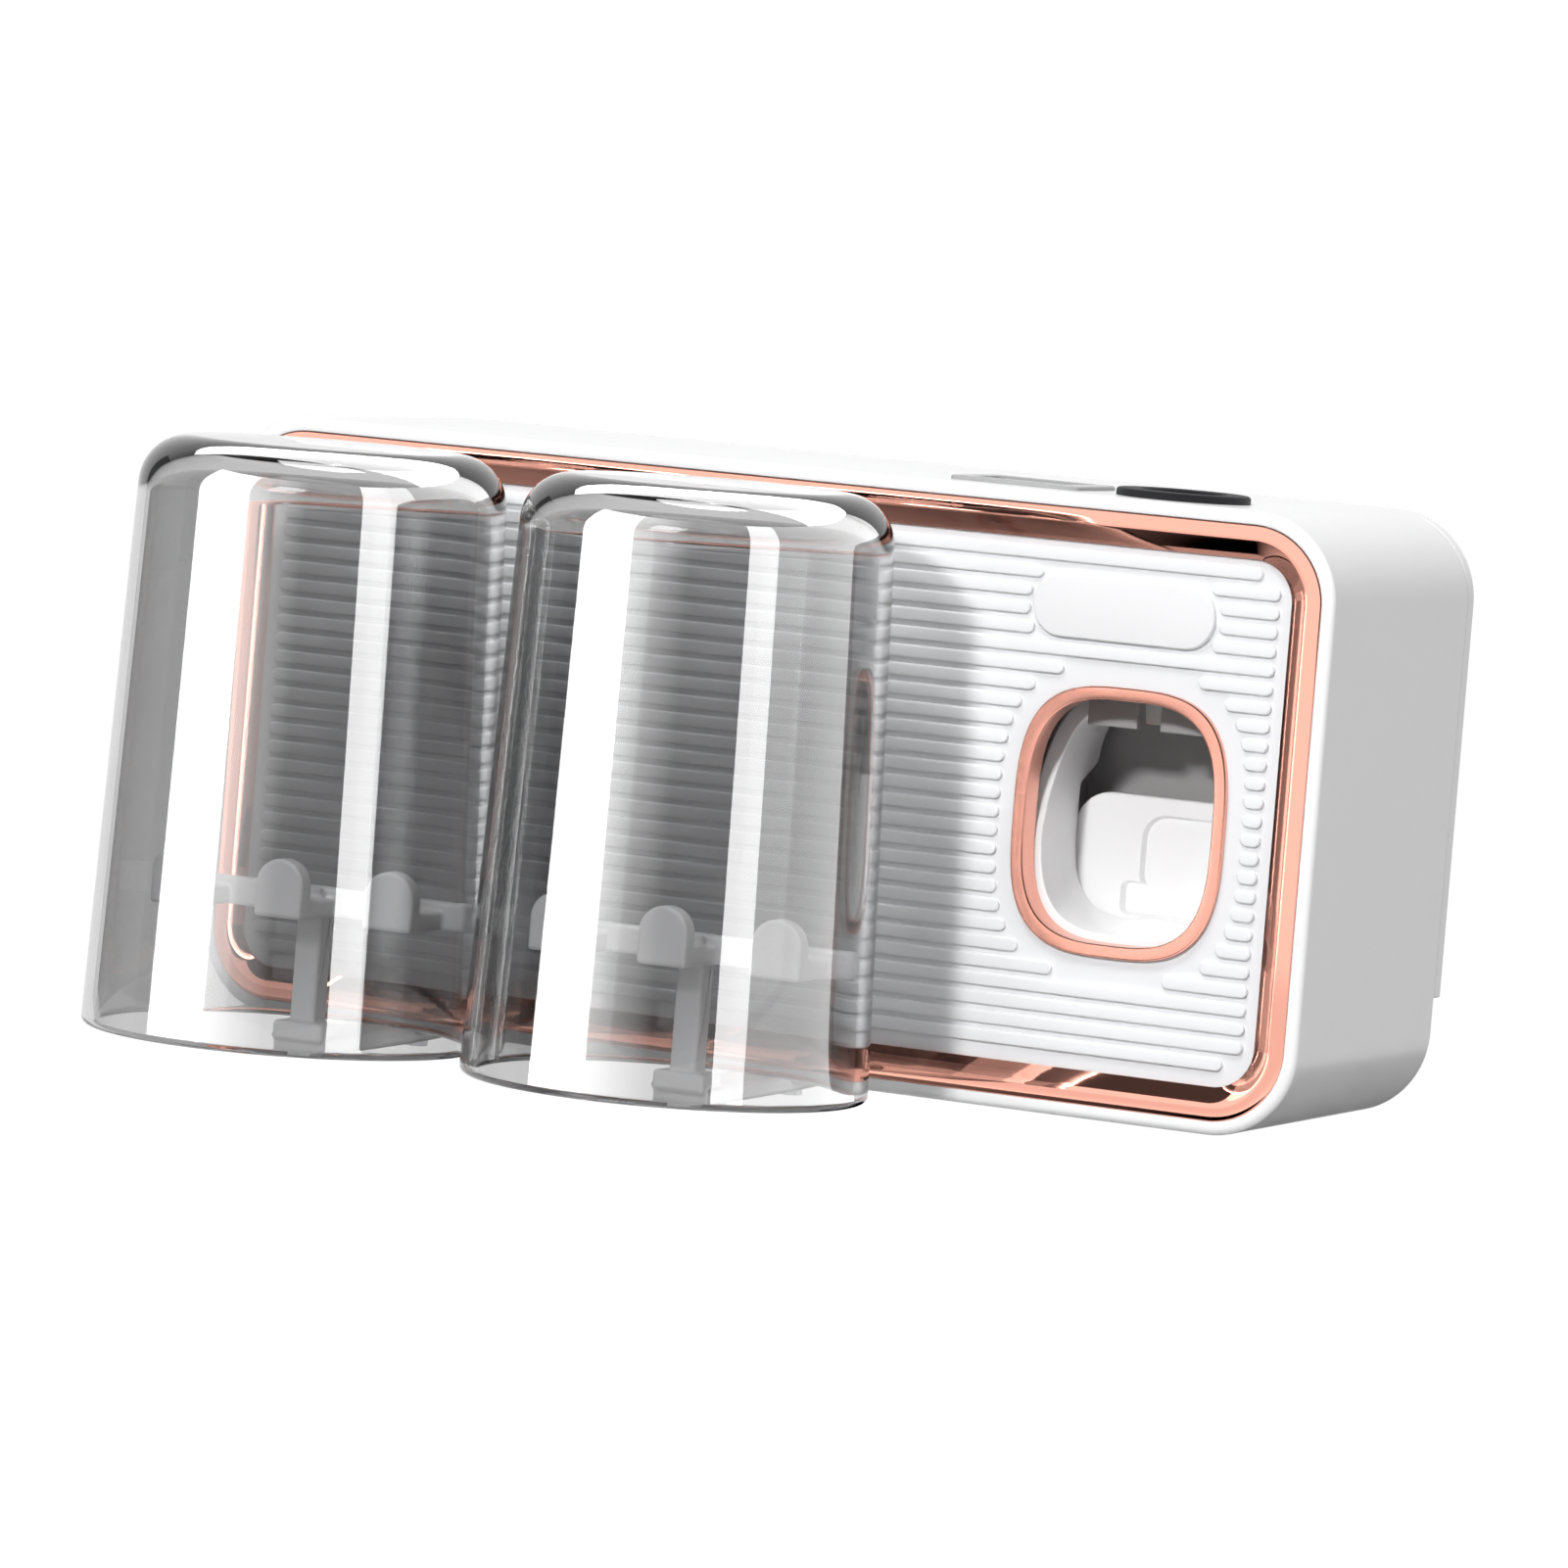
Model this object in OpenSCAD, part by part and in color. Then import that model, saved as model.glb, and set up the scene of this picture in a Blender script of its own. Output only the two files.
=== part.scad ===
// Wall-hung toothbrush holder. A rounded cabinet with a framed, ribbed front hangs on a wall
// bracket. Two clear tumblers hang upside down over the brush racks at the left, and a
// push-lever toothpaste pump sits behind the window at the right.
// The wall is the plane y = 0, the front faces -y, and z = 0 is half the body's height.

/* [Body] */
// Width of the body
body_w = 220; // [214:1:240]
// Height of the body
body_h = 110; // [108:1:120]
// Depth of the housing, from its front rim to the back cover
housing_d = 66; // [63:1:80]
// Radius of the body's four corners
corner_r = 16; // [13:1:20]
// Thickness of the housing's wall
wall_t = 2.3; // [2:0.1:3]
// Width of the tabs inside the housing that carry the front panel's long edges
tab_w = 12; // [8:0.5:16]
// How far these tabs stand in from the housing's wall
tab_reach = 5; // [4:0.5:6]
// Thickness of these tabs
tab_t = 2.4; // [2:0.1:3]
// Distance from the body's sides to the screw bosses' axes
boss_inset = 12; // [11:0.5:14]
// Radius of the screw bosses
boss_r = 3.6; // [3.2:0.1:4]

/* [Front trim] */
// Width of the trim's flat face
trim_face_w = 3.1; // [2.6:0.1:3.6]
// Width of the trim's sloping inner side
trim_bevel_w = 2.9; // [2.2:0.1:3.4]
// Drop of the sloping side towards the panel
trim_bevel_d = 1.3; // [1:0.1:1.6]
// Thickness of the trim
trim_t = 2.1; // [1.9:0.1:2.4]

/* [Ribbed panel] */
// Thickness of the panel without its ribs
panel_t = 2.4; // [2:0.1:3]
// Distance from rib to rib
rib_pitch = 3.33; // [3.1:0.01:3.35]
// Width of a rib
rib_w = 2.4; // [2:0.1:2.6]
// Height of a rib above the panel
rib_h = 0.8; // [0.5:0.1:1]
// Gap from the ends of the ribs to the trim's inner side
rib_margin = 2.5; // [2:0.1:4]
// Least gap from the first and the last rib to the trim's inner side
rib_end_gap = 1.3; // [1:0.1:2]
// Height of the middle rib above the body's middle
rib_rise = 0.7; // [0:0.1:0.9]
// How far the first and the last rib stop short of the others
rib_corner_cut = 3.6; // [3:0.1:5]

/* [Name plaque] */
// Length of the plaque
plaque_w = 34.7; // [28:0.1:38]
// Height of the plaque
plaque_h = 11.3; // [9:0.1:12]
// Thickness of the plaque
plaque_t = 1.2; // [1:0.1:1.6]
// Distance of the plaque's centre from the body's right side
plaque_inset = 40; // [36:0.1:44]
// Distance of the plaque's centre below the body's top
plaque_drop = 19.9; // [18.5:0.1:21]
// Clear gap between the plaque and the ribs
plaque_margin = 0.7; // [0.5:0.1:1.5]

/* [Window] */
// Distance of the window's centre from the body's right side
window_inset = 37.8; // [37:0.1:40]
// Distance of the window's centre below the body's top
window_drop = 57.3; // [56:0.1:59]
// Width of the window's opening
window_w = 35.8; // [33:0.1:37]
// Height of the window's opening
window_h = 43.3; // [40:0.1:44]
// Squareness of the window's outline: 2 is an ellipse, more is squarer
window_power = 3.2; // [2.6:0.1:4]
// Width of the ring round the window
ring_w = 2.3; // [2:0.1:2.8]
// How far the ring stands out of the panel
ring_rise = 1.2; // [1:0.1:1.5]
// Depth of the ring
ring_d = 5.6; // [5:0.1:6]
// Smooth margin between the ring and the ribs
window_margin = 3; // [2:0.1:4]
// Thickness of the chute's wall
chute_t = 1.6; // [1.4:0.1:1.8]

/* [Toothpaste pump] */
// Distance of the tube port's axis from the front
port_d = 19; // [18:0.1:20]
// Radius of the tube port's bore
port_r = 7.5; // [6:0.1:8]
// Radius of the port collar's flange
collar_r = 12; // [11:0.1:13]
// Height of the port collar's flange above the body's top
collar_rise = 1.4; // [1:0.1:2]
// Travel of the push lever, in degrees
lever_travel = 14; // [8:1:15]
// Thickness of the push lever
lever_t = 2.4; // [2:0.1:2.6]
// Height of the push lever above its pin
lever_h = 26.1; // [24:0.1:27]
// Radius of the lever's pin
pin_r = 1.5; // [1.2:0.1:1.6]
// Height of the plunger's axis above the lever's pin
plunger_rise = 16.5; // [15:0.1:17.5]
// Radius of the pump's bore
bore_r = 8; // [7:0.1:8.5]
// Number of turns of the return spring
spring_turns = 5; // [4:1:6]

/* [Cups] */
// Outer diameter of a cup at its rim
cup_rim_d = 71.8; // [70:0.1:73]
// Outer diameter of a cup at its closed end
cup_end_d = 65.6; // [62:0.1:68]
// Height of a cup
cup_h = 106; // [100:1:112]
// Thickness of a cup's wall
cup_t = 2.4; // [2:0.1:3]
// Thickness of a cup's closed end
cup_end_t = 4; // [3:0.1:5]
// Radius of the edge round a cup's closed end
cup_edge_r = 9; // [6:0.1:11]
// Distance from cup to cup
cup_pitch = 76.1; // [74.5:0.1:78]
// Distance of the left cup's axis from the body's left side
cup_inset = 43.2; // [40:0.1:46]
// Distance of the cups' axes in front of the body
cup_reach = 44; // [42:0.5:48]
// Height of a cup's rim above the body's underside
cup_rim_rise = 1.5; // [1:0.1:3]

/* [Brush racks] */
// Distance from prong to prong
prong_pitch = 21.6; // [20:0.1:22]
// Width of a prong
prong_w = 9.4; // [8:0.1:10]
// Width of the rack's post
post_w = 5; // [4:0.1:6]
// Depth of the rack's post
post_d = 5; // [4:0.1:6]
// Distance of the post in front of the body
post_reach = 34.5; // [32:0.5:36]
// Height of the crossbar's underside above the cup's rim
bar_rise = 21.5; // [19:0.1:24]
// Height of the crossbar
bar_h = 5; // [4:0.1:6]
// Depth of the crossbar
bar_d = 4; // [3:0.1:5]
// Distance of the prongs' tips in front of the post
prong_reach = 15; // [13:0.5:17]
// Height of the prongs' tips above the crossbar's top
prong_tip_h = 5.5; // [4:0.1:7]
// Width of the rack's arm
arm_w = 11; // [9:0.5:14]
// Thickness of the rack's arm
arm_t = 3.2; // [3:0.1:4]
// Length of the arm that lies under the body
arm_foot = 44; // [40:1:48]

/* [Wall bracket] */
// Width of the bracket
bracket_w = 96; // [90:1:110]
// Height of the bracket
bracket_h = 50; // [44:1:54]
// Thickness of the bracket's plate
bracket_t = 2.2; // [2:0.1:2.5]
// Thickness of the adhesive pad
pad_t = 1; // [0.8:0.1:1.2]
// Distance between the bracket's two hooks
hook_pitch = 70; // [64:1:76]
// Width of a hook
hook_w = 13; // [10:0.5:16]
// Height of a hook's lip, and so the lift that frees the body
lip_h = 5; // [4:0.1:6]
// Distance between the bracket's two screw holes
wall_hole_pitch = 30; // [24:1:32]
// Radius of the bracket's screw holes
wall_hole_r = 2.25; // [2:0.05:2.6]
// Thickness of the back cover
cover_t = 3.2; // [3:0.1:4]
// Height of the back cover's lower edge above the body's underside
cover_step = 22.3; // [18:0.1:26]

/* [Storage bin] */
// Width of the storage bin's opening
bin_w = 22; // [18:0.5:24]
// Depth of the storage bin's opening, from front to back
bin_d = 16; // [12:0.5:18]
// Distance of the storage bin's middle from the body's right side
bin_inset = 67; // [66:0.5:70]
// Inside height of the storage bin
bin_h = 28; // [20:0.5:29]
// Thickness of the storage bin's wall
bin_t = 1.6; // [1.2:0.1:2]

/* [Hidden] */
$fn = 64;
fine = 96;
coarse = 16;
hex_sides = 6;
// Every cut runs past its piece by this much
overrun = 1;
// Clearances: a glued or screwed fit, a piece that moves, a pin in its hole
fit_gap = 0.15;
slide_gap = 0.3;
pin_gap = 0.06;
// The body stands this far from the wall
wall_gap = 0.8;
front_y = -(housing_d + cover_t + wall_gap);
half_h = body_h / 2;
half_w = body_w / 2;
inner_w = body_w - 2 * wall_t;
inner_h = body_h - 2 * wall_t;
inner_r = corner_r - wall_t;
trim_w = trim_face_w + trim_bevel_w;
rib_count = 1 + floor((inner_h - 2 * trim_w - 2 * rib_end_gap - rib_w) / rib_pitch);
plaque_x = half_w - plaque_inset;
plaque_z = half_h - plaque_drop;
bin_x = half_w - bin_inset;
panel_front = trim_t;
panel_back = panel_front + panel_t;
tab_shares = [-0.28, 0];
tabs_at = [for (s = tab_shares) s * body_w];
plug_t = 2.4;
plug_front = housing_d - plug_t;

// Screws: radius of the thread, of the hole it holds in, of the head, and the head's height
screw_r = 1.5;
thread_gap = 0.05;
pilot_r = screw_r + thread_gap;
head_r = 2.8;
head_h = 1.6;
screw_l = 9;
back_screws_at = [for (sx = [-1, 1], sz = [-1, 1])
    [sx * (half_w - boss_inset), sz * (half_h - boss_inset)]];

// Window, chute and pump, as depths from the front
window_x = half_w - window_inset;
window_z = half_h - window_drop;
window_hw = window_w / 2;
window_hh = window_h / 2;
ring_front = panel_front - ring_rise;
ring_back = ring_front + ring_d;
chute_front = ring_back + fit_gap;
chute_lip = 1.2;

// The pump stands off the back cover's plug by a room, and ends in the flange that carries it
flange_t = 2.2;
flange_hw = 29;
flange_up = 21.6;
flange_down = 28.6;
mount_x = 25.9;
mount_z = 13.5;
mount_r = 3;
cassette_screw_l = 11;
cassette_hw = 22.6;
cassette_up = 26;
cassette_t = 2;
back_room = 4.3;
chamber_t = 1.8;
cap_t = 3;
piston_t = 3.6;
spring_low_l = 9;
stroke = plunger_rise * tan(lever_travel);
chamber_l = slide_gap + piston_t + stroke + spring_low_l;
chamber_back = plug_front - back_room - cassette_t;
chamber_front = chamber_back - chamber_l - cap_t;
chamber_set_back = 14.2;
cassette_front = chamber_front - chamber_set_back;
flange_back = cassette_front;
flange_front = flange_back - flange_t;
chute_back = flange_back + flange_t;
head_hw = 11.8;
head_top = 36;
head_front = 8.6;
riser_d = 6;
riser_hw = 4;
head_back = chamber_front + riser_d;
guard_d = 11.6;
guard_t = 1.8;
guard_drop = 7.4;
notch_w = 4.4;
notch_h = 5;
nozzle_r = 3;
nozzle_bore_r = 1.2;
nozzle_tip_r = 2.4;
nozzle_tip = 6.4;
nozzle_d = guard_d + guard_t + slide_gap + nozzle_r;
nozzle_plug_h = 4;
mouth_z = window_z + window_hh + chute_t + slide_gap;
socket_t = 2;
socket_seat = 2;
socket_bottom = window_z + head_top - socket_seat;
socket_top = half_h - wall_t - slide_gap;
collar_t = 1.6;
port_corner_share = 0.75;

// Push lever
pin_drop_share = 0.6;
pin_z = window_z - window_hh - pin_drop_share * chute_t;
barrel_r = 3;
pin_d = chute_back + slide_gap + barrel_r;
barrel_hl = 10.2;
ear_t = 3;
ear_r = 3;
lever_front = chute_back + slide_gap;
lever_side = 0.7;
lever_hw = window_hw + lever_side;
lever_r = 7;
lever_foot_h = 3.5;
lever_pad_t = 1.2;
lever_pad_hw = 8.5;
lever_pad_h = 6;
lever_pad_r = 2.4;
lever_bar_hw = 7;
lever_bar_shift = 1.9;
lever_bar_top = 2.6;
lever_bar_r = 4;
pin_end = 0.6;
pin_hl = barrel_hl + slide_gap + ear_t + pin_end;

// Plunger, seal and spring
plunger_z = pin_z + plunger_rise;
stem_r = 4;
stem_gap = 0.08;
seal_t = 2;
seal_groove = 1.4;
piston_front = chamber_front + cap_t + slide_gap;
piston_back = piston_front + piston_t;
stem_front = lever_front + lever_t + slide_gap;
spring_wire_r = 0.55;
spring_r = 4.6;
spring_front = piston_back + spring_wire_r;
spring_back = chamber_front + cap_t + chamber_l - spring_wire_r;
spring_steps = 14;
duct_r = 1.6;
duct_rise = 8;
duct_d = chamber_front + cap_t;

// Cups and racks
cup_left_x = -half_w + cup_inset;
cups_at = [cup_left_x, cup_left_x + cup_pitch];
cup_rim_z = -half_h + cup_rim_rise;
cup_rim_r = cup_rim_d / 2;
cup_end_r = cup_end_d / 2;
cup_y = front_y - cup_reach;
taper = (cup_rim_r - cup_end_r) / cup_h;
rim_r = cup_t / 2;
function cup_inner_r(h) = cup_rim_r - cup_t - taper * h;
arm_top = cup_rim_z - slide_gap;
arm_bottom = arm_top - arm_t;
post_y = front_y - post_reach;
bar_z = cup_rim_z + bar_rise;
bar_half = sqrt(pow(cup_inner_r(bar_rise + bar_h), 2) - pow(cup_reach - post_reach + bar_d / 2, 2))
    - slide_gap;
prong_root_h = 3.4;
prong_tip_d = 4;
toe_w = 10;
toe_d = 8;
toe_h = 2.4;
foot_top = -half_h;
arm_hole_shares = [0.27, 0.77];
arm_hole_at = [for (s = arm_hole_shares) s * arm_foot];
rack_boss_h = 8;

// Bracket and back cover
bracket_front = pad_t + bracket_t;
bracket_r = 6;
pad_w = 86;
pad_h = 40;
pad_hole_gap = 1;
pocket_gap = 0.6;
pocket_w = bracket_w + 2 * pocket_gap;
pocket_top = bracket_h / 2 + pocket_gap;
lift = lip_h + slide_gap;
pocket_bottom = bracket_h / 2 + pocket_gap + lift;
pocket_floor = bracket_front + slide_gap;
hook_t = 3;
hook_z = 8;
lip_t = 2;
slot_w = hook_w + 2 * pocket_gap;
cover_inner = wall_gap + cover_t + plug_t;
hook_reach = cover_inner - bracket_front + slide_gap + lip_t;

// A rectangle with round corners, centred
module rounded_rect(w, h, r) {
    square([w - 2 * r, h], center = true);
    square([w, h - 2 * r], center = true);
    for (sx = [-1, 1], sy = [-1, 1])
        translate([sx * (w / 2 - r), sy * (h / 2 - r)]) circle(r);
}

// The window's outline: |x / a| ^ power + |y / b| ^ power = 1
module squircle(a, b) {
    function signed_root(v) = sign(v) * pow(abs(v), 2 / window_power);
    polygon([for (i = [0 : fine - 1]) let (t = 360 * i / fine)
        [a * signed_root(cos(t)), b * signed_root(sin(t))]]);
}

// Stands an outline upright and gives it the depths from_d to to_d behind the front
module slab(from_d, to_d) {
    translate([0, front_y + to_d, 0]) rotate([90, 0, 0]) linear_extrude(to_d - from_d) children();
}

// A round bar along y between two depths
module depth_rod(x, z, r, from_d, to_d) {
    slab(from_d, to_d) translate([x, z]) circle(r);
}

// The window's outline, stood up and grown by a margin
module window_slab(margin, from_d, to_d) {
    slab(from_d, to_d) translate([window_x, window_z]) squircle(window_hw + margin, window_hh + margin);
}

// A screw along +z: its head's underside is at z = 0
module screw(l) {
    cylinder(r = screw_r, h = l);
    translate([0, 0, -head_h]) difference() {
        cylinder(r = head_r, h = head_h);
        translate([0, 0, -overrun]) cylinder(r = head_r / 2, h = overrun + head_h / 2, $fn = hex_sides);
    }
}

module housing() {
    color("white") difference() {
        union() {
            difference() {
                slab(0, housing_d) rounded_rect(body_w, body_h, corner_r);
                slab(-overrun, housing_d + overrun) rounded_rect(inner_w, inner_h, inner_r);
            }
            slab(panel_back, panel_back + tab_t) for (x = tabs_at, sz = [-1, 1])
                translate([x, sz * (inner_h + wall_t / 2 - tab_reach) / 2])
                    square([tab_w, tab_reach + wall_t / 2], center = true);
            slab(panel_back, plug_front) housing_boss_outline();
            for (x = cups_at, d = arm_hole_at)
                translate([x, front_y + d, -half_h + wall_t / 2]) cylinder(r = boss_r, h = rack_boss_h);
        }
        for (p = back_screws_at)
            depth_rod(p[0], p[1], pilot_r, plug_front - screw_l, housing_d + overrun);
        for (x = cups_at, d = arm_hole_at)
            translate([x, front_y + d, -half_h - overrun]) cylinder(r = pilot_r, h = rack_boss_h + overrun);
        translate([window_x, front_y + port_d, half_h - wall_t - overrun])
            linear_extrude(wall_t + 2 * overrun) port_outline(0);
        translate([bin_x, front_y + port_d, half_h - wall_t - overrun])
            linear_extrude(wall_t + 2 * overrun) square([bin_w, bin_d], center = true);
    }
}

// The bosses of the four back screws, with webs that join them to the corners
module housing_boss_outline() {
    for (p = back_screws_at) {
        translate(p) circle(boss_r);
        web_x = p[0] + sign(p[0]) * (boss_inset - wall_t / 2) / 2;
        translate([web_x, p[1]]) square([boss_inset - wall_t / 2, boss_r], center = true);
    }
}

// Sweeps a profile round a rounded rectangle. The profile's x counts outwards from the
// outer edge and its y counts forwards from the front
module swept_rect(w, h, r) {
    for (k = [0 : 3]) {
        across = k % 2 == 0 ? w : h;
        along = k % 2 == 0 ? h : w;
        rotate([0, 0, 90 * k]) {
            translate([across / 2, along / 2 - r, 0]) rotate([90, 0, 0])
                linear_extrude(along - 2 * r) children();
            translate([across / 2 - r, along / 2 - r, 0]) rotate_extrude(angle = 90, $fn = fine)
                translate([r, 0]) children();
        }
    }
}

module trim_frame() {
    edge = fit_gap;
    color([0.95, 0.68, 0.56]) translate([0, front_y, 0]) rotate([90, 0, 0])
        swept_rect(inner_w - 2 * edge, inner_h - 2 * edge, inner_r - edge)
            polygon([[0, 0], [0, -trim_t], [-trim_w, -trim_t], [-trim_w, -trim_bevel_d],
                [-trim_face_w, 0]]);
}

// Half the length of a rib: the first and the last stop short at the corners
function rib_half(i) = inner_w / 2 - trim_w - rib_margin
    - (i == 0 || i == rib_count - 1 ? rib_corner_cut : 0);

module rib_outlines() {
    difference() {
        for (i = [0 : rib_count - 1]) {
            z = rib_rise + (i - (rib_count - 1) / 2) * rib_pitch;
            translate([0, z]) {
                square([2 * rib_half(i) - rib_w, rib_w], center = true);
                for (s = [-1, 1]) translate([s * (rib_half(i) - rib_w / 2), 0]) circle(rib_w / 2, $fn = coarse);
            }
        }
        grown = ring_w + window_margin;
        translate([window_x, window_z]) squircle(window_hw + grown, window_hh + grown);
        translate([plaque_x, plaque_z]) rounded_rect(plaque_w + 2 * plaque_margin,
            plaque_h + 2 * plaque_margin, plaque_h / 2 + plaque_margin - fit_gap);
    }
}

module ribbed_panel() {
    color([0.96, 0.96, 0.97]) difference() {
        union() {
            slab(panel_front, panel_back)
                rounded_rect(inner_w - 2 * fit_gap, inner_h - 2 * fit_gap, inner_r - fit_gap);
            slab(panel_front - rib_h, panel_front + panel_t / 2) rib_outlines();
            for (sx = [-1, 1], sz = [-1, 1])
                depth_rod(window_x + sx * mount_x, window_z + sz * mount_z, mount_r,
                    panel_back - panel_t / 2, flange_front);
        }
        window_slab(ring_w - fit_gap, panel_front - rib_h - overrun, panel_back + overrun);
        for (sx = [-1, 1], sz = [-1, 1])
            depth_rod(window_x + sx * mount_x, window_z + sz * mount_z, pilot_r,
                flange_back + flange_t - cassette_screw_l, flange_front + overrun);
    }
}

module name_plaque() {
    color([0.9, 0.9, 0.91]) slab(panel_front - plaque_t, panel_front)
        translate([plaque_x, plaque_z]) rounded_rect(plaque_w, plaque_h, plaque_h / 2 - fit_gap);
}

// A face ring in front of the panel and a sleeve that reaches through it
module window_ring() {
    sleeve = ring_w - 2 * fit_gap;
    color([0.95, 0.68, 0.56]) difference() {
        union() {
            window_slab(ring_w, ring_front, panel_front);
            window_slab(sleeve, panel_front - ring_rise / 2, ring_back);
        }
        window_slab(0, ring_front - overrun, ring_back + overrun);
    }
}

// The squircle tube behind the ring. Its roof is open for the outlet, and its rear flange
// carries it on the panel's bosses
module window_chute() {
    color("white") difference() {
        union() {
            window_slab(chute_t, chute_front, chute_back);
            slab(flange_front, flange_back) flange_outline();
        }
        window_slab(0, chute_front + chute_lip, chute_back + overrun);
        window_slab(-chute_lip, chute_front - overrun, chute_front + overrun + chute_lip);
        slab(head_front - slide_gap, chute_back + overrun) translate([window_x, window_z + half_h / 2])
            square([2 * (head_hw + slide_gap), half_h], center = true);
        for (sx = [-1, 1], sz = [-1, 1])
            depth_rod(window_x + sx * mount_x, window_z + sz * mount_z, screw_r + fit_gap,
                flange_front - overrun, flange_back + overrun);
    }
}

module flange_outline() {
    translate([window_x, window_z + (flange_up - flange_down) / 2])
        rounded_rect(2 * flange_hw, flange_up + flange_down, mount_r);
}

// The housing's opening for the collar: a square with well rounded corners, in which it can't turn
module port_outline(gap) {
    side = collar_r - collar_t - gap;
    rounded_rect(2 * side, 2 * side, port_corner_share * side);
}

module port_collar() {
    color([0.08, 0.08, 0.08]) translate([window_x, front_y + port_d, half_h]) difference() {
        union() {
            cylinder(r = collar_r, h = collar_rise);
            translate([0, 0, -wall_t]) linear_extrude(wall_t + overrun) port_outline(fit_gap);
        }
        translate([0, 0, -wall_t - overrun]) cylinder(r = port_r, h = wall_t + collar_rise + 2 * overrun);
    }
}

module tube_socket() {
    color([0.85, 0.85, 0.86]) translate([window_x, front_y + port_d, socket_bottom]) difference() {
        cylinder(r = port_r + socket_t, h = socket_top - socket_bottom);
        translate([0, 0, -overrun]) cylinder(r = port_r, h = socket_top - socket_bottom + 2 * overrun);
    }
}

module pump_body() {
    color([0.3, 0.3, 0.31]) difference() {
        union() {
            // Open box round the lever
            difference() {
                slab(cassette_front, chamber_front) cassette_outline(0);
                slab(cassette_front - overrun, chamber_front - cassette_t) cassette_outline(cassette_t);
            }
            slab(cassette_front, cassette_front + flange_t) difference() {
                flange_outline();
                cassette_outline(cassette_t);
            }
            // Chamber of the plunger
            depth_rod(window_x, plunger_z, bore_r + chamber_t, chamber_front - cassette_t,
                chamber_back + cassette_t);
            // Head over the window, with the outlet's guard, and the riser from the chamber
            slab(head_front, head_back) head_outline();
            slab(chamber_front - cassette_t, head_back)
                translate([window_x, (plunger_z + mouth_z + duct_rise) / 2])
                square([2 * riser_hw, mouth_z + duct_rise - plunger_z], center = true);
            slab(guard_d, guard_d + guard_t) guard_outline();
            // Ears of the lever's pin
            for (s = [-1, 1]) translate([s * (barrel_hl + slide_gap + ear_t / 2), 0, 0]) pin_ear();
        }
        slab(cassette_front - overrun, chamber_front - cassette_t) head_clearance();
        depth_rod(window_x, plunger_z, bore_r, chamber_front - cassette_t - overrun, chamber_back);
        pin_rod(pin_r + pin_gap, flange_hw);
        for (sx = [-1, 1], sz = [-1, 1])
            depth_rod(window_x + sx * mount_x, window_z + sz * mount_z, screw_r + fit_gap,
                cassette_front - overrun, cassette_front + flange_t + overrun);
        // Seat of the socket, and the passages to the outlet
        translate([window_x, front_y + port_d, socket_bottom])
            cylinder(r = port_r + socket_t + fit_gap, h = head_top);
        translate([window_x, front_y + port_d, mouth_z + nozzle_plug_h])
            cylinder(r = port_r - socket_t, h = head_top);
        translate([window_x, front_y + nozzle_d, mouth_z - overrun])
            cylinder(r = nozzle_r + fit_gap, h = nozzle_plug_h + overrun);
        translate([window_x, front_y + nozzle_d, mouth_z]) cylinder(r = duct_r, h = duct_rise);
        translate([window_x, front_y + duct_d, plunger_z])
            cylinder(r = duct_r, h = mouth_z + duct_rise - plunger_z);
        depth_rod(window_x, mouth_z + duct_rise, duct_r, port_d, duct_d + duct_r);
    }
}

module cassette_outline(inset) {
    low = -flange_down + inset;
    high = cassette_up - inset;
    translate([window_x, window_z + (low + high) / 2])
        square([2 * (cassette_hw - inset), high - low], center = true);
}

module head_outline() {
    translate([window_x, (mouth_z + window_z + head_top) / 2])
        square([2 * head_hw, window_z + head_top - mouth_z], center = true);
}

// Nothing of the head hangs into the lever's box
module head_clearance() {
    low = -flange_down + cassette_t;
    high = cassette_up - cassette_t;
    translate([window_x, window_z + (low + high) / 2])
        square([2 * head_hw + overrun, high - low], center = true);
}

module guard_outline() {
    difference() {
        translate([window_x, mouth_z - guard_drop / 2 + guard_t / 2])
            square([2 * head_hw, guard_drop + guard_t], center = true);
        translate([window_x, mouth_z - guard_drop]) square([notch_w, 2 * notch_h], center = true);
    }
}

module pin_ear() {
    translate([window_x - ear_t / 2, front_y + pin_d, pin_z]) rotate([0, 90, 0]) cylinder(r = ear_r, h = ear_t);
    floor_z = window_z - flange_down + cassette_t / 2;
    translate([window_x - ear_t / 2, front_y + pin_d - ear_r, floor_z])
        cube([ear_t, 2 * ear_r, pin_z - floor_z]);
}

// A rod along x on the pin's axis
module pin_rod(r, half_l) {
    translate([window_x - half_l, front_y + pin_d, pin_z]) rotate([0, 90, 0]) cylinder(r = r, h = 2 * half_l);
}

module pump_cap() {
    color([0.75, 0.75, 0.76]) difference() {
        depth_rod(window_x, plunger_z, bore_r - fit_gap, chamber_front, chamber_front + cap_t);
        depth_rod(window_x, plunger_z, stem_r + stem_gap, chamber_front - overrun,
            chamber_front + cap_t + overrun);
    }
}

module outlet_nozzle() {
    color([0.92, 0.92, 0.9]) translate([window_x, front_y + nozzle_d, mouth_z]) difference() {
        union() {
            cylinder(r = nozzle_r, h = nozzle_plug_h);
            translate([0, 0, -nozzle_tip]) cylinder(r1 = nozzle_tip_r, r2 = nozzle_r, h = nozzle_tip);
        }
        translate([0, 0, -nozzle_tip - overrun])
            cylinder(r = nozzle_bore_r, h = nozzle_tip + nozzle_plug_h + 2 * overrun);
    }
}

module cassette_screws() {
    color([0.7, 0.7, 0.72]) for (sx = [-1, 1], sz = [-1, 1])
        translate([window_x + sx * mount_x, front_y + cassette_front + flange_t, window_z + sz * mount_z])
            rotate([90, 0, 0]) screw(cassette_screw_l - 2 * fit_gap);
}

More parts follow.
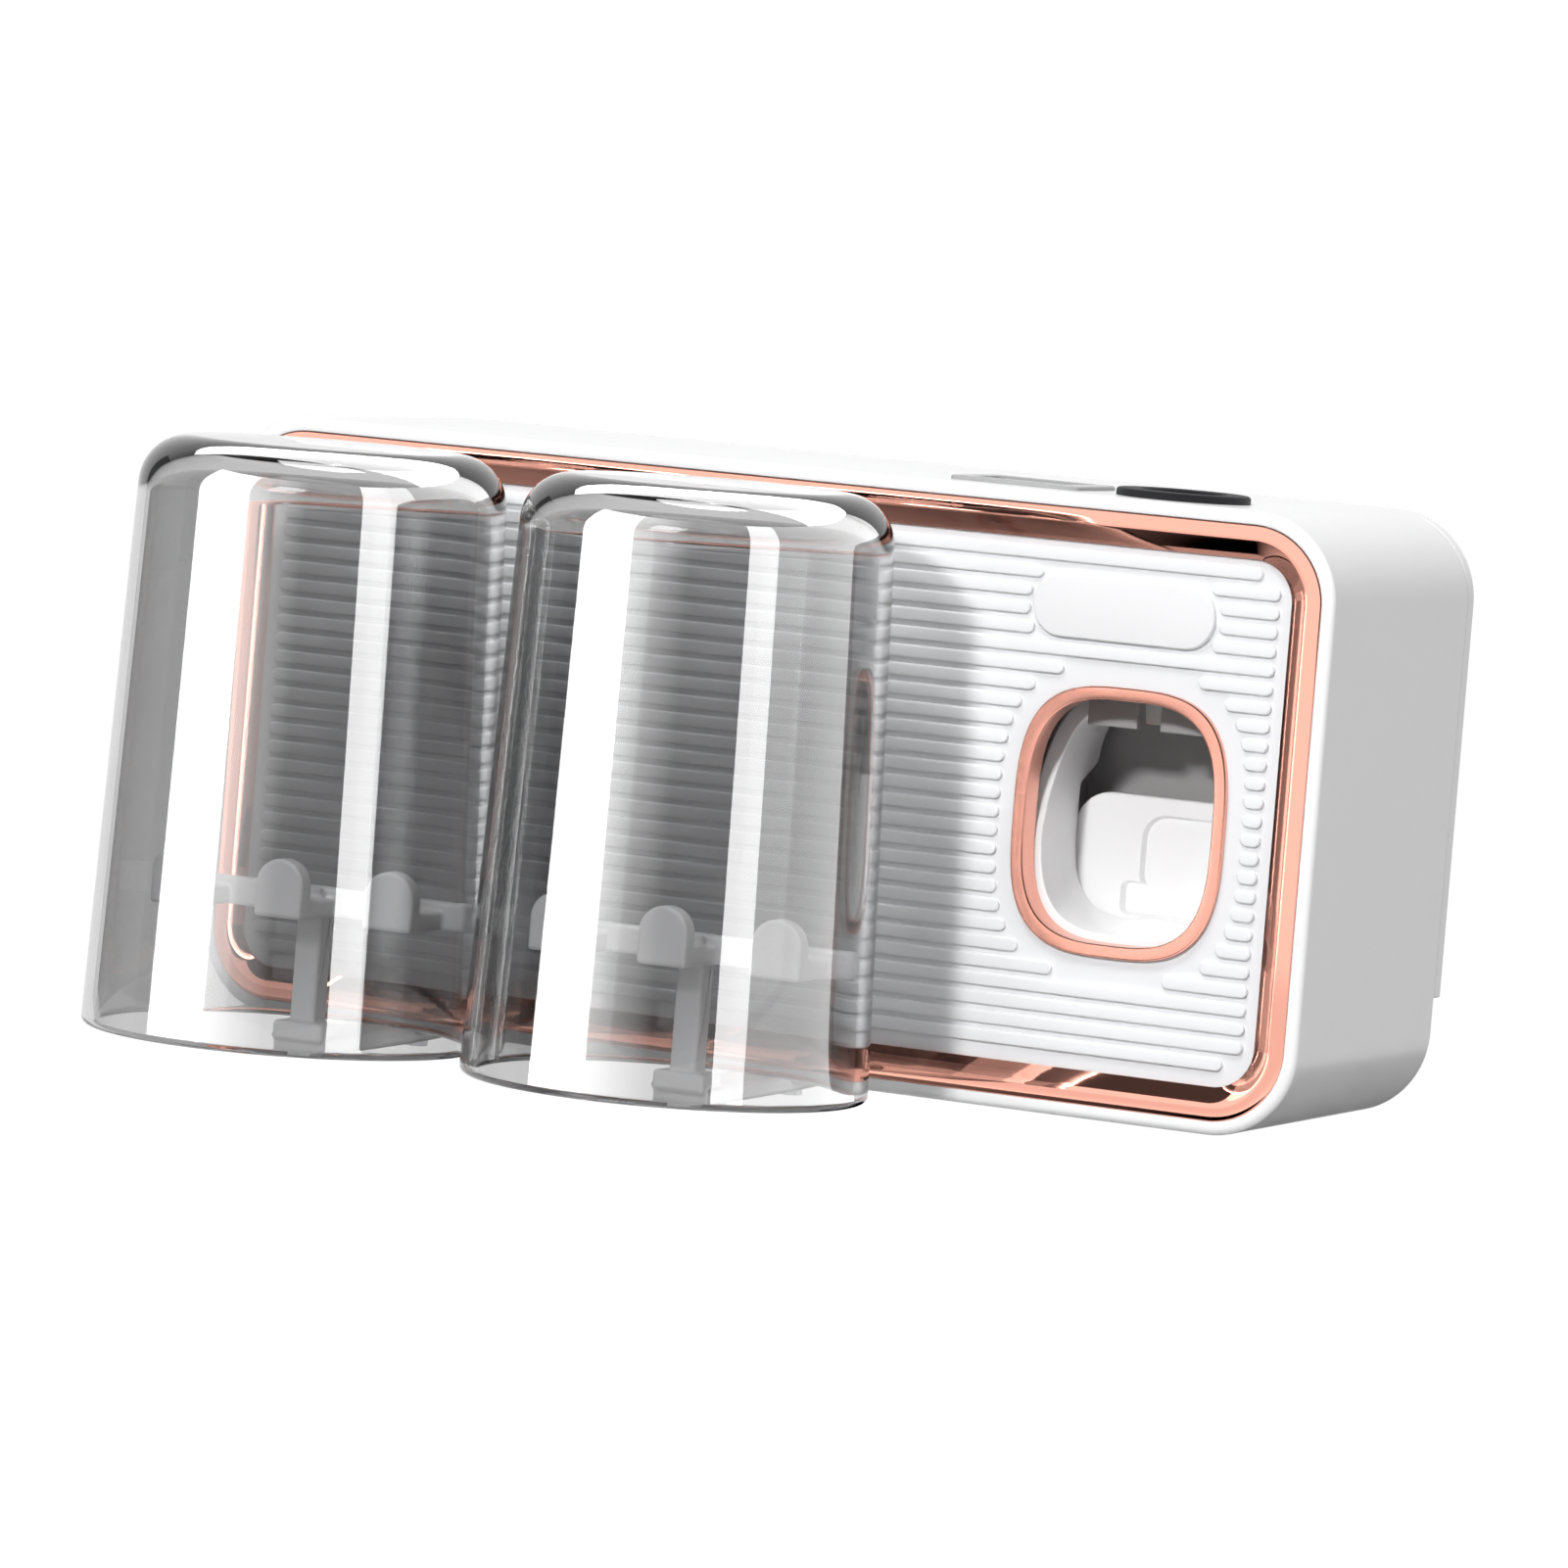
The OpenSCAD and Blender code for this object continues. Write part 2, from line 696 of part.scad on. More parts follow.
// Plate with a raised, stepped pad, a narrower foot and the pin's barrel
module push_lever() {
    top_z = pin_z + lever_h;
    foot_z = pin_z + lever_foot_h;
    bar_low = foot_z + lever_pad_h - lever_bar_r;
    bar_high = top_z - lever_bar_top;
    color("white") difference() {
        union() {
            slab(lever_front, lever_front + lever_t) {
                lever_plate(foot_z, top_z);
                translate([window_x, (pin_z + foot_z + lever_r) / 2])
                    square([2 * barrel_hl, foot_z + lever_r - pin_z], center = true);
            }
            slab(lever_front - lever_pad_t, lever_front + lever_t / 2)
                translate([window_x, foot_z + lever_pad_h / 2 + lever_pad_t])
                    rounded_rect(2 * lever_pad_hw, lever_pad_h, lever_pad_r);
            slab(lever_front - lever_pad_t, lever_front + lever_t / 2)
                translate([window_x + lever_bar_shift, (bar_low + bar_high) / 2])
                    rounded_rect(2 * lever_bar_hw, bar_high - bar_low, lever_bar_r);
            pin_rod(barrel_r, barrel_hl);
        }
        pin_rod(pin_r + pin_gap, flange_hw);
    }
}

module lever_plate(low, high) {
    translate([window_x, (low + high) / 2]) rounded_rect(2 * lever_hw, high - low, lever_r);
}

module lever_pin() {
    color([0.75, 0.75, 0.78]) pin_rod(pin_r, pin_hl);
}

// Domed tip, stem, and a piston with a groove for its seal
module plunger() {
    groove_front = piston_front + (piston_t - seal_t) / 2;
    color("white") difference() {
        union() {
            translate([window_x, front_y + stem_front + stem_r, plunger_z]) sphere(stem_r);
            depth_rod(window_x, plunger_z, stem_r, stem_front + stem_r, piston_front + piston_t / 2);
            depth_rod(window_x, plunger_z, bore_r - slide_gap, piston_front, piston_back);
        }
        slab(groove_front, groove_front + seal_t) translate([window_x, plunger_z]) difference() {
            circle(bore_r + overrun);
            circle(bore_r - slide_gap - seal_groove);
        }
    }
}

module plunger_seal() {
    groove_front = piston_front + (piston_t - seal_t) / 2;
    color([0.15, 0.15, 0.15]) slab(groove_front + stem_gap, groove_front + seal_t - stem_gap)
        translate([window_x, plunger_z]) difference() {
            circle(bore_r - stem_gap);
            circle(bore_r - slide_gap - seal_groove + stem_gap);
        }
}

// A round-wire coil along y: rings of points joined into one closed tube
module return_spring() {
    sides = 6;
    rings = spring_turns * spring_steps;
    run = spring_back - spring_front;
    function at(i) = let (t = 360 * i / spring_steps)
        [spring_r * cos(t), spring_front + run * i / rings, spring_r * sin(t)];
    points = [for (i = [0 : rings], j = [0 : sides - 1])
        let (t = 360 * i / spring_steps, a = 360 * j / sides, out = spring_wire_r * cos(a))
        at(i) + [out * cos(t), spring_wire_r * sin(a), out * sin(t)]];
    faces = [for (i = [0 : rings - 1], j = [0 : sides - 1])
        let (k = (j + 1) % sides) [i * sides + j, i * sides + k, (i + 1) * sides + k, (i + 1) * sides + j]];
    first = [for (j = [sides - 1 : -1 : 0]) j];
    last = [for (j = [0 : sides - 1]) rings * sides + j];
    color([0.7, 0.7, 0.72]) translate([window_x, front_y, plunger_z])
        polyhedron(points, concat([first], faces, [last]));
}

module storage_bin() {
    out_w = bin_w - 2 * fit_gap;
    out_d = bin_d - 2 * fit_gap;
    color([0.3, 0.3, 0.31]) translate([bin_x, front_y + port_d, half_h]) difference() {
        union() {
            translate([0, 0, -bin_h - bin_t]) linear_extrude(bin_h + bin_t)
                square([out_w, out_d], center = true);
            linear_extrude(bin_t / 2) square([bin_w + 2 * bin_t, bin_d + 2 * bin_t], center = true);
        }
        translate([0, 0, -bin_h]) linear_extrude(bin_h + 2 * overrun)
            square([out_w - 2 * bin_t, out_d - 2 * bin_t], center = true);
    }
}

// Arm under the body, post, crossbar inside the cup and three prongs with upturned tips
module rack(x) {
    color("white") translate([x, 0, 0]) difference() {
        union() {
            // Arm under the cup's rim and the step down to the body's underside
            translate([-arm_w / 2, post_y - post_d / 2, arm_bottom])
                cube([arm_w, post_reach + post_d / 2 + arm_foot, min(arm_t, foot_top - arm_bottom)]);
            translate([-arm_w / 2, post_y - post_d / 2, arm_bottom])
                cube([arm_w, post_reach + post_d / 2 - slide_gap, arm_t]);
            // Post with its toes
            translate([-post_w / 2, post_y - post_d / 2, arm_bottom])
                cube([post_w, post_d, bar_z + bar_h - arm_bottom]);
            translate([-toe_w / 2, post_y - toe_d / 2, arm_top - overrun])
                cube([toe_w, toe_d, toe_h + overrun]);
            // Crossbar
            translate([-bar_half, post_y - bar_d / 2, bar_z]) cube([2 * bar_half, bar_d, bar_h]);
            for (k = [-1 : 1]) translate([k * prong_pitch, 0, 0]) prong();
        }
        for (d = arm_hole_at) translate([0, front_y + d, arm_bottom - overrun])
            cylinder(r = screw_r + fit_gap, h = arm_t + 2 * overrun);
    }
}

module prong() {
    tip_y = post_y - prong_reach;
    translate([-prong_w / 2, tip_y + prong_tip_d / 2, bar_z]) cube([prong_w, prong_reach, prong_root_h]);
    tip_h = bar_h + prong_tip_h - prong_w / 2;
    translate([0, tip_y + prong_tip_d, bar_z]) rotate([90, 0, 0]) linear_extrude(prong_tip_d) {
        translate([-prong_w / 2, 0]) square([prong_w, tip_h]);
        translate([0, tip_h]) circle(prong_w / 2);
    }
}

module rack_screws() {
    color([0.7, 0.7, 0.72]) for (x = cups_at, d = arm_hole_at)
        translate([x, front_y + d, arm_bottom]) screw(screw_l - 2 * fit_gap);
}

// Points of an arc about a centre
function round_end(x, y, r, angles) = [for (a = angles) [x + r * cos(a), y + r * sin(a)]];

// A tapered cup, upside down: an outline of radius and height turned about its axis
module cup(x) {
    inner_end = cup_h - cup_end_t;
    inner_edge = cup_edge_r - cup_t;
    end_in = cup_inner_r(inner_end);
    color([0.72, 0.74, 0.76, 0.4]) translate([x, cup_y, cup_rim_z]) rotate_extrude($fn = fine)
        polygon(concat(
            [for (a = [0 : 30 : 180]) [cup_rim_r - rim_r - rim_r * cos(a), rim_r - rim_r * sin(a)]],
            round_end(cup_end_r - cup_edge_r, cup_h - cup_edge_r, cup_edge_r, [0 : 10 : 90]),
            [[0, cup_h], [0, inner_end]],
            round_end(end_in - inner_edge, inner_end - inner_edge, inner_edge, [90 : -10 : 0])));
}

module wall_bracket() {
    color([0.8, 0.8, 0.82]) difference() {
        union() {
            translate([0, -pad_t, 0]) rotate([90, 0, 0]) linear_extrude(bracket_t)
                rounded_rect(bracket_w, bracket_h, bracket_r);
            for (s = [-1, 1]) translate([s * hook_pitch / 2 - hook_w / 2, 0, hook_z]) {
                translate([0, -bracket_front - hook_reach, 0])
                    cube([hook_w, hook_reach + bracket_t / 2, hook_t]);
                translate([0, -bracket_front - hook_reach, 0]) cube([hook_w, lip_t, hook_t + lip_h]);
            }
        }
        for (s = [-1, 1]) translate([0, overrun, s * wall_hole_pitch / 2]) rotate([90, 0, 0])
            cylinder(r = wall_hole_r, h = bracket_front + 2 * overrun);
    }
}

// Foam between the bracket and the wall, with room round the two screws
module adhesive_pad() {
    color([0.35, 0.35, 0.36]) difference() {
        rotate([90, 0, 0]) linear_extrude(pad_t) rounded_rect(pad_w, pad_h, bracket_r / 2);
        for (s = [-1, 1]) translate([0, overrun, s * wall_hole_pitch / 2]) rotate([90, 0, 0])
            cylinder(r = wall_hole_r + pad_hole_gap, h = pad_t + 2 * overrun);
    }
}

// Outer plate with its low edge stepped up, inner plug, and the pocket that drops over the bracket
module back_cover() {
    low = -half_h + cover_step;
    color("white") difference() {
        union() {
            intersection() {
                slab(housing_d, housing_d + cover_t) rounded_rect(body_w, body_h, corner_r);
                slab(housing_d - overrun, housing_d + cover_t + overrun)
                    translate([0, (low + half_h) / 2])
                        square([body_w + 2 * overrun, half_h - low], center = true);
            }
            slab(plug_front, housing_d) plug_outline();
            slab(plug_front, housing_d + cover_t / 2) intersection() {
                plug_outline();
                translate([0, (low + half_h) / 2]) square([body_w, half_h - low], center = true);
            }
        }
        translate([0, overrun, (pocket_top - pocket_bottom) / 2]) rotate([90, 0, 0])
            linear_extrude(pocket_floor + overrun)
                square([pocket_w, pocket_top + pocket_bottom], center = true);
        for (s = [-1, 1]) hook_slot(s * hook_pitch / 2);
        for (p = back_screws_at) {
            depth_rod(p[0], p[1], screw_r + fit_gap, plug_front - overrun, housing_d + cover_t + overrun);
            depth_rod(p[0], p[1], head_r + slide_gap, screw_seat(p[1]), housing_d + cover_t + overrun);
        }
    }
}

module plug_outline() {
    rounded_rect(inner_w - 2 * fit_gap, inner_h - 2 * fit_gap, inner_r - fit_gap);
}

// Depth of the seat of a back screw's head: sunk in the plate, or on the plug below the step
function screw_seat(z) = z > -half_h + cover_step ? housing_d + cover_t - head_h - fit_gap : housing_d;

// The slot's upper edge rests on the hook, and the lip passes when the body is lifted
module hook_slot(x) {
    top_z = hook_z + hook_t + slide_gap;
    slot_h = hook_t + lip_h + 3 * slide_gap;
    translate([x - slot_w / 2, -cover_inner - overrun, top_z - slot_h])
        cube([slot_w, cover_inner - pocket_floor + 2 * overrun, slot_h]);
}

module back_screws() {
    color([0.7, 0.7, 0.72]) for (p = back_screws_at)
        translate([p[0], front_y + screw_seat(p[1]), p[1]]) rotate([90, 0, 0])
            screw(screw_l + screw_seat(p[1]) - plug_front - fit_gap);
}

wall_bracket();
adhesive_pad();
back_cover();
back_screws();
housing();
trim_frame();
ribbed_panel();
name_plaque();
window_ring();
window_chute();
port_collar();
tube_socket();
pump_body();
pump_cap();
outlet_nozzle();
cassette_screws();
push_lever();
lever_pin();
plunger();
plunger_seal();
return_spring();
storage_bin();
rack(cups_at[0]);  // rack_left
rack(cups_at[1]);  // rack_right
rack_screws();
cup(cups_at[0]);  // cup_left
cup(cups_at[1]);  // cup_right
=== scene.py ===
import bmesh
import bpy
import numpy as np
from math import pi, radians
from mathutils import Matrix, Vector


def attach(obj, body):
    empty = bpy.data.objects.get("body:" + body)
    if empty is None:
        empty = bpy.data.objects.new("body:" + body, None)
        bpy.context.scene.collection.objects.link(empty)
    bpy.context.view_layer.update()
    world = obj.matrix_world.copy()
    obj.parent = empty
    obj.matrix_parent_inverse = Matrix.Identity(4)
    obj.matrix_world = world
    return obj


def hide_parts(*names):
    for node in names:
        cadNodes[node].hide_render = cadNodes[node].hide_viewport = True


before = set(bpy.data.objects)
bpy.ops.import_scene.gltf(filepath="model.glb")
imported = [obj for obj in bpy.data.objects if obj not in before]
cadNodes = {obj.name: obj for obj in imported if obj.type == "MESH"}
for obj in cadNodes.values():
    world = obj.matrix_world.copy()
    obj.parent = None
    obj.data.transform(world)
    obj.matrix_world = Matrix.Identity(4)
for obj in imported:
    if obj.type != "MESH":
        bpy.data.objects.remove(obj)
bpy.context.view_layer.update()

millimetre = 0.001
frontY = -70.0  # the front plane, in millimetres, as all sizes below

# The camera stands right of the middle and a little above, as for the photograph
camera = {
    "place": (0.6686, -1.5005, 0.1165),
    "forward": (-0.4183, 0.9052, -0.0750),
    "right": (0.9023, 0.4236, 0.0800),
    "up": (-0.1042, 0.0342, 0.9940),
    "lens": 202.37,
}


def addCamera(values):
    data = bpy.data.cameras.new("camera")
    data.lens = values["lens"]
    data.sensor_width = 36
    data.clip_start = 0.01
    data.clip_end = 50
    obj = bpy.data.objects.new("camera", data)
    bpy.context.scene.collection.objects.link(obj)
    back = Vector(values["forward"]) * -1
    axes = Matrix([values["right"], values["up"], back]).transposed()
    obj.matrix_world = Matrix.Translation(values["place"]) @ axes.to_4x4()
    bpy.context.scene.camera = obj


addCamera(camera)
bpy.context.scene.view_settings.view_transform = "Standard"
print("camera set")


# Surfaces as grids

def newShell():
    return {"points": [], "quads": [], "tris": [], "count": 0}


def addGrid(shell, points, wrapRows=False, wrapCols=False):
    # Neighbouring rows and columns make the quads; the last row or column may join the first
    rows, cols = points.shape[:2]
    index = np.arange(rows * cols).reshape(rows, cols) + shell["count"]
    if wrapRows:
        index = np.vstack([index, index[:1]])
    if wrapCols:
        index = np.hstack([index, index[:, :1]])
    quads = np.stack([index[:-1, :-1], index[:-1, 1:], index[1:, 1:], index[1:, :-1]], axis=-1)
    shell["points"].append(points.reshape(-1, 3))
    shell["quads"].append(quads.reshape(-1, 4))
    shell["count"] += rows * cols


def addCap(shell, ring):
    # A fan from the ring's mean point to each of its edges
    count = len(ring)
    index = np.arange(count) + shell["count"]
    middle = np.full(count, shell["count"] + count)
    shell["points"].append(np.vstack([ring, ring.mean(axis=0)]))
    shell["tris"].append(np.stack([index, np.roll(index, -1), middle], axis=1))
    shell["count"] += count + 1


def addTube(shell, ringsPoints, capped=True):
    # Rings one after another, closed at both ends
    addGrid(shell, ringsPoints, wrapCols=True)
    if capped:
        addCap(shell, ringsPoints[0])
        addCap(shell, ringsPoints[-1])


def shellMesh(name, shell):
    # The shell's quads and triangles as one mesh, in metres
    mesh = bpy.data.meshes.new(name)
    points = np.concatenate(shell["points"]) * millimetre
    quads = np.concatenate(shell["quads"] or [np.zeros((0, 4), int)])
    tris = np.concatenate(shell["tris"] or [np.zeros((0, 3), int)])
    starts = np.concatenate([np.arange(len(quads)) * 4, len(quads) * 4 + np.arange(len(tris)) * 3])
    mesh.vertices.add(len(points))
    mesh.vertices.foreach_set("co", points.astype(np.float32).ravel())
    loops = np.concatenate([quads.ravel(), tris.ravel()])
    mesh.loops.add(len(loops))
    mesh.loops.foreach_set("vertex_index", loops.astype(np.int32))
    mesh.polygons.add(len(starts))
    mesh.polygons.foreach_set("loop_start", starts.astype(np.int32))
    mesh.update(calc_edges=True)
    closeMesh(mesh, 2e-6)
    return mesh


def closeMesh(mesh, gap):
    # Points closer than the gap are joined, faces without area go, and normals point outwards
    work = bmesh.new()
    work.from_mesh(mesh)
    bmesh.ops.remove_doubles(work, verts=work.verts, dist=gap)
    bmesh.ops.dissolve_degenerate(work, dist=gap / 4, edges=work.edges)
    bmesh.ops.recalc_face_normals(work, faces=work.faces)
    work.to_mesh(mesh)
    work.free()


def softEdges(mesh, degrees):
    # Smooth shading, broken where faces meet at more than the angle
    mesh.shade_smooth()
    mesh.set_sharp_from_angle(angle=radians(degrees))


def addPiece(name, mesh, material, body, replaced, smooth=32):
    # A finished piece that rides a body and stands in for nodes
    obj = bpy.data.objects.new(name, mesh)
    bpy.context.scene.collection.objects.link(obj)
    mesh.materials.clear()
    mesh.materials.append(material)
    softEdges(mesh, smooth)
    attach(obj, body)
    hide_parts(*replaced)
    return obj


def cutOut(piece, cutters, smooth=32):
    # The cutters' shapes are taken out of the piece and are then thrown away
    made = []
    for mesh in cutters:
        tool = bpy.data.objects.new("cutter", mesh)
        bpy.context.scene.collection.objects.link(tool)
        cut = piece.modifiers.new("cut", "BOOLEAN")
        cut.operation = "DIFFERENCE"
        cut.solver = "EXACT"
        cut.object = tool
        made.append(tool)
    bpy.context.view_layer.update()
    view = bpy.context.evaluated_depsgraph_get()
    mesh = bpy.data.meshes.new_from_object(piece.evaluated_get(view))
    piece.modifiers.clear()
    piece.data = mesh
    for tool in made:
        bpy.data.objects.remove(tool)
    softEdges(mesh, smooth)


def bevelledCopy(node, name, material, body, width, segments=3, smooth=32):
    # The node's own form with its sharp edges rounded: merged, flat faces joined, then bevelled
    mesh = cadNodes[node].data.copy()
    work = bmesh.new()
    work.from_mesh(mesh)
    bmesh.ops.remove_doubles(work, verts=work.verts, dist=1e-6)
    bmesh.ops.dissolve_limit(work, angle_limit=radians(0.8), verts=work.verts, edges=work.edges)
    work.to_mesh(mesh)
    work.free()
    obj = addPiece(name, mesh, material, body, [node], smooth)
    edge = obj.modifiers.new("edges", "BEVEL")
    edge.width = width * millimetre
    edge.segments = segments
    edge.limit_method = "ANGLE"
    edge.angle_limit = radians(34)
    edge.use_clamp_overlap = False
    edge.harden_normals = True
    edge.miter_outer = "MITER_ARC"
    flat = obj.modifiers.new("flat", "WEIGHTED_NORMAL")
    flat.weight = 100
    flat.keep_sharp = True
    return obj


# Outlines and how they are carried

def roundedOutline(halfW, halfH, r, arcPoints=16, sidePoints=10):
    # Quarter arcs about the four core corners with straight runs between; gives core points and normals
    corners = np.array([[1, 1], [-1, 1], [-1, -1], [1, -1]]) * [halfW - r, halfH - r]
    core, normal = [], []
    for k in range(4):
        turn = np.linspace(0, pi / 2, arcPoints) + k * pi / 2
        around = np.stack([np.cos(turn), np.sin(turn)], axis=1)
        share = np.linspace(0, 1, sidePoints + 2)[1:-1, None]
        core += [np.repeat(corners[k][None], arcPoints, 0), corners[k] * (1 - share) + corners[(k + 1) % 4] * share]
        normal += [around, np.repeat(around[-1][None], sidePoints, 0)]
    return np.concatenate(core), np.concatenate(normal)


def barOutline(low, high, z, r, arcPoints=9):
    # A bar with round ends: half a circle about each end of its core line
    turn = np.linspace(-pi / 2, pi / 2, arcPoints)
    around = np.stack([np.cos(turn), np.sin(turn)], axis=1)
    right = np.repeat([[high - r, z]], arcPoints, 0)
    left = np.repeat([[low + r, z]], arcPoints, 0)
    return np.concatenate([right, left]), np.concatenate([around, -around])


def squircle(halfW, halfH, power, turn):
    # Radius at each angle where |x / halfW| ^ power + |z / halfH| ^ power = 1
    c, s = np.cos(turn), np.sin(turn)
    r = (np.abs(c / halfW) ** power + np.abs(s / halfH) ** power) ** (-1 / power)
    return np.stack([r * c, r * s], axis=-1)


def carryFront(outline, profile):
    # Each profile point is (distance from the core, depth behind the front)
    core, normal = outline
    profile = np.asarray(profile, float)
    flat = core[None] + normal[None] * profile[:, :1, None]
    return upright(flat, profile[:, 1:2])


def upright(flat, depth):
    # Plan points (x, z) with a depth become points in the part's frame
    depth = np.broadcast_to(depth, flat.shape[:-1])
    return np.stack([flat[..., 0], frontY + depth, flat[..., 1]], axis=-1)


def lathe(profile, centre, segments=96, along="z"):
    # Each profile point (radius, height) is turned about the axis through the centre
    profile = np.asarray(profile, float)
    turn = np.arange(segments) * 2 * pi / segments
    c, s = profile[:, :1] * np.cos(turn), profile[:, :1] * np.sin(turn)
    h = np.broadcast_to(profile[:, 1:], c.shape)
    if along == "z":
        return np.stack([centre[0] + c, centre[1] + s, h], axis=-1)
    return np.stack([centre[0] + c, frontY + h, centre[1] + s], axis=-1)


def fillet(centreA, centreB, r, start, end, steps=6):
    # Points of an arc between two angles, in degrees
    turn = np.radians(np.linspace(start, end, steps))
    return np.stack([centreA + r * np.cos(turn), centreB + r * np.sin(turn)], axis=1)


# Shader groups and materials

def group(name, inputs, outputs):
    tree = bpy.data.node_groups.new(name, "ShaderNodeTree")
    for label, kind, value in inputs:
        socket = tree.interface.new_socket(name=label, in_out="INPUT", socket_type=kind)
        socket.default_value = value
    for label, kind in outputs:
        tree.interface.new_socket(name=label, in_out="OUTPUT", socket_type=kind)
    return tree, tree.nodes.new("NodeGroupInput"), tree.nodes.new("NodeGroupOutput")


def node(tree, kind, links=None, **values):
    # A new node: values are its properties, links its inputs as a socket or a plain value
    made = tree.nodes.new(kind)
    for key, value in values.items():
        setattr(made, key, value)
    for key, value in (links or {}).items():
        if isinstance(value, bpy.types.NodeSocket):
            tree.links.new(value, made.inputs[key])
        else:
            made.inputs[key].default_value = value
    return made


def combined(tree, operation, first, second):
    return node(tree, "ShaderNodeMath", {0: first, 1: second}, operation=operation).outputs[0]


def emptyMaterial(name):
    material = bpy.data.materials.new(name)
    material.use_nodes = True
    tree = material.node_tree
    tree.nodes.clear()
    return material, tree, node(tree, "ShaderNodeOutputMaterial")


def spread(tree, value, low, high):
    # Noise stays mostly between 0.3 and 0.7; that span is carried to low and high
    made = node(tree, "ShaderNodeMapRange", {"Value": value, "From Min": 0.3, "From Max": 0.7})
    for key, end in (("To Min", low), ("To Max", high)):
        if isinstance(end, bpy.types.NodeSocket):
            tree.links.new(end, made.inputs[key])
        else:
            made.inputs[key].default_value = end
    return made.outputs["Result"]


def makeGrain():
    # Moulded surface: slow drift of tone, cloudy gloss and a fine skin of pits
    tree, ins, outs = group("mouldedGrain", [
        ("Colour", "NodeSocketColor", (0.8, 0.8, 0.8, 1)),
        ("Tone Shift", "NodeSocketFloat", 0.03),
        ("Tone Scale", "NodeSocketFloat", 30.0),
        ("Skin Scale", "NodeSocketFloat", 900.0),
        ("Gloss Low", "NodeSocketFloat", 0.25),
        ("Gloss High", "NodeSocketFloat", 0.35),
    ], [("Colour", "NodeSocketColor"), ("Roughness", "NodeSocketFloat"), ("Height", "NodeSocketFloat")])
    where = node(tree, "ShaderNodeTexCoord").outputs["Object"]
    drift = node(tree, "ShaderNodeTexNoise", {"Vector": where, "Scale": ins.outputs["Tone Scale"], "Detail": 3.0})
    skin = node(tree, "ShaderNodeTexNoise", {"Vector": where, "Scale": ins.outputs["Skin Scale"], "Detail": 2.0})
    cloud = node(tree, "ShaderNodeTexNoise", {"Vector": where, "Scale": 140.0, "Detail": 4.0})
    lower = combined(tree, "SUBTRACT", 1.0, ins.outputs["Tone Shift"])
    tone = spread(tree, drift.outputs["Fac"], lower, 1.0)
    shade = node(tree, "ShaderNodeCombineColor", {"Red": tone, "Green": tone, "Blue": tone})
    mix = tree.nodes.new("ShaderNodeMix")
    mix.data_type = "RGBA"
    mix.blend_type = "MULTIPLY"
    mix.inputs[0].default_value = 1.0
    tree.links.new(ins.outputs["Colour"], mix.inputs[6])
    tree.links.new(shade.outputs[0], mix.inputs[7])
    gloss = spread(tree, cloud.outputs["Fac"], ins.outputs["Gloss Low"], ins.outputs["Gloss High"])
    tree.links.new(mix.outputs[2], outs.inputs["Colour"])
    tree.links.new(gloss, outs.inputs["Roughness"])
    tree.links.new(skin.outputs["Fac"], outs.inputs["Height"])
    return tree


def makeBrushed():
    # Turned metal: fine rings of scratches round the piece with cloudy gloss
    tree, ins, outs = group("brushedMetal", [
        ("Colour", "NodeSocketColor", (0.7, 0.7, 0.7, 1)),
        ("Scratch Scale", "NodeSocketFloat", 2500.0),
        ("Gloss Low", "NodeSocketFloat", 0.18),
        ("Gloss High", "NodeSocketFloat", 0.4),
    ], [("Colour", "NodeSocketColor"), ("Roughness", "NodeSocketFloat"), ("Height", "NodeSocketFloat")])
    where = node(tree, "ShaderNodeTexCoord").outputs["Object"]
    drawn = node(tree, "ShaderNodeMapping", {"Vector": where, "Scale": (1.0, 0.12, 1.0)})
    scratch = node(tree, "ShaderNodeTexNoise", {"Vector": drawn.outputs[0], "Scale": ins.outputs["Scratch Scale"],
                                                "Detail": 3.0})
    cloud = node(tree, "ShaderNodeTexNoise", {"Vector": where, "Scale": 220.0, "Detail": 3.0})
    tone = spread(tree, cloud.outputs["Fac"], 0.9, 1.0)
    shade = node(tree, "ShaderNodeCombineColor", {"Red": tone, "Green": tone, "Blue": tone})
    mix = tree.nodes.new("ShaderNodeMix")
    mix.data_type = "RGBA"
    mix.blend_type = "MULTIPLY"
    mix.inputs[0].default_value = 1.0
    tree.links.new(ins.outputs["Colour"], mix.inputs[6])
    tree.links.new(shade.outputs[0], mix.inputs[7])
    gloss = spread(tree, scratch.outputs["Fac"], ins.outputs["Gloss Low"], ins.outputs["Gloss High"])
    tree.links.new(mix.outputs[2], outs.inputs["Colour"])
    tree.links.new(gloss, outs.inputs["Roughness"])
    tree.links.new(scratch.outputs["Fac"], outs.inputs["Height"])
    return tree


grain = makeGrain()
brushed = makeBrushed()


def surface(name, kind, colour, relief=0.02, settings=None, **inputs):
    # A Principled material fed by one of the groups; relief is the height of its skin in millimetres
    material, tree, out = emptyMaterial(name)
    shader = node(tree, "ShaderNodeBsdfPrincipled", settings or {})
    skin = node(tree, "ShaderNodeGroup", node_tree=kind)
    skin.inputs["Colour"].default_value = (*colour, 1)
    for key, value in inputs.items():
        skin.inputs[key.replace("_", " ")].default_value = value
    bump = node(tree, "ShaderNodeBump", {"Height": skin.outputs["Height"], "Strength": 0.5,
                                         "Distance": relief * millimetre})
    tree.links.new(skin.outputs["Colour"], shader.inputs["Base Color"])
    tree.links.new(skin.outputs["Roughness"], shader.inputs["Roughness"])
    tree.links.new(bump.outputs["Normal"], shader.inputs["Normal"])
    tree.links.new(shader.outputs["BSDF"], out.inputs["Surface"])
    return material


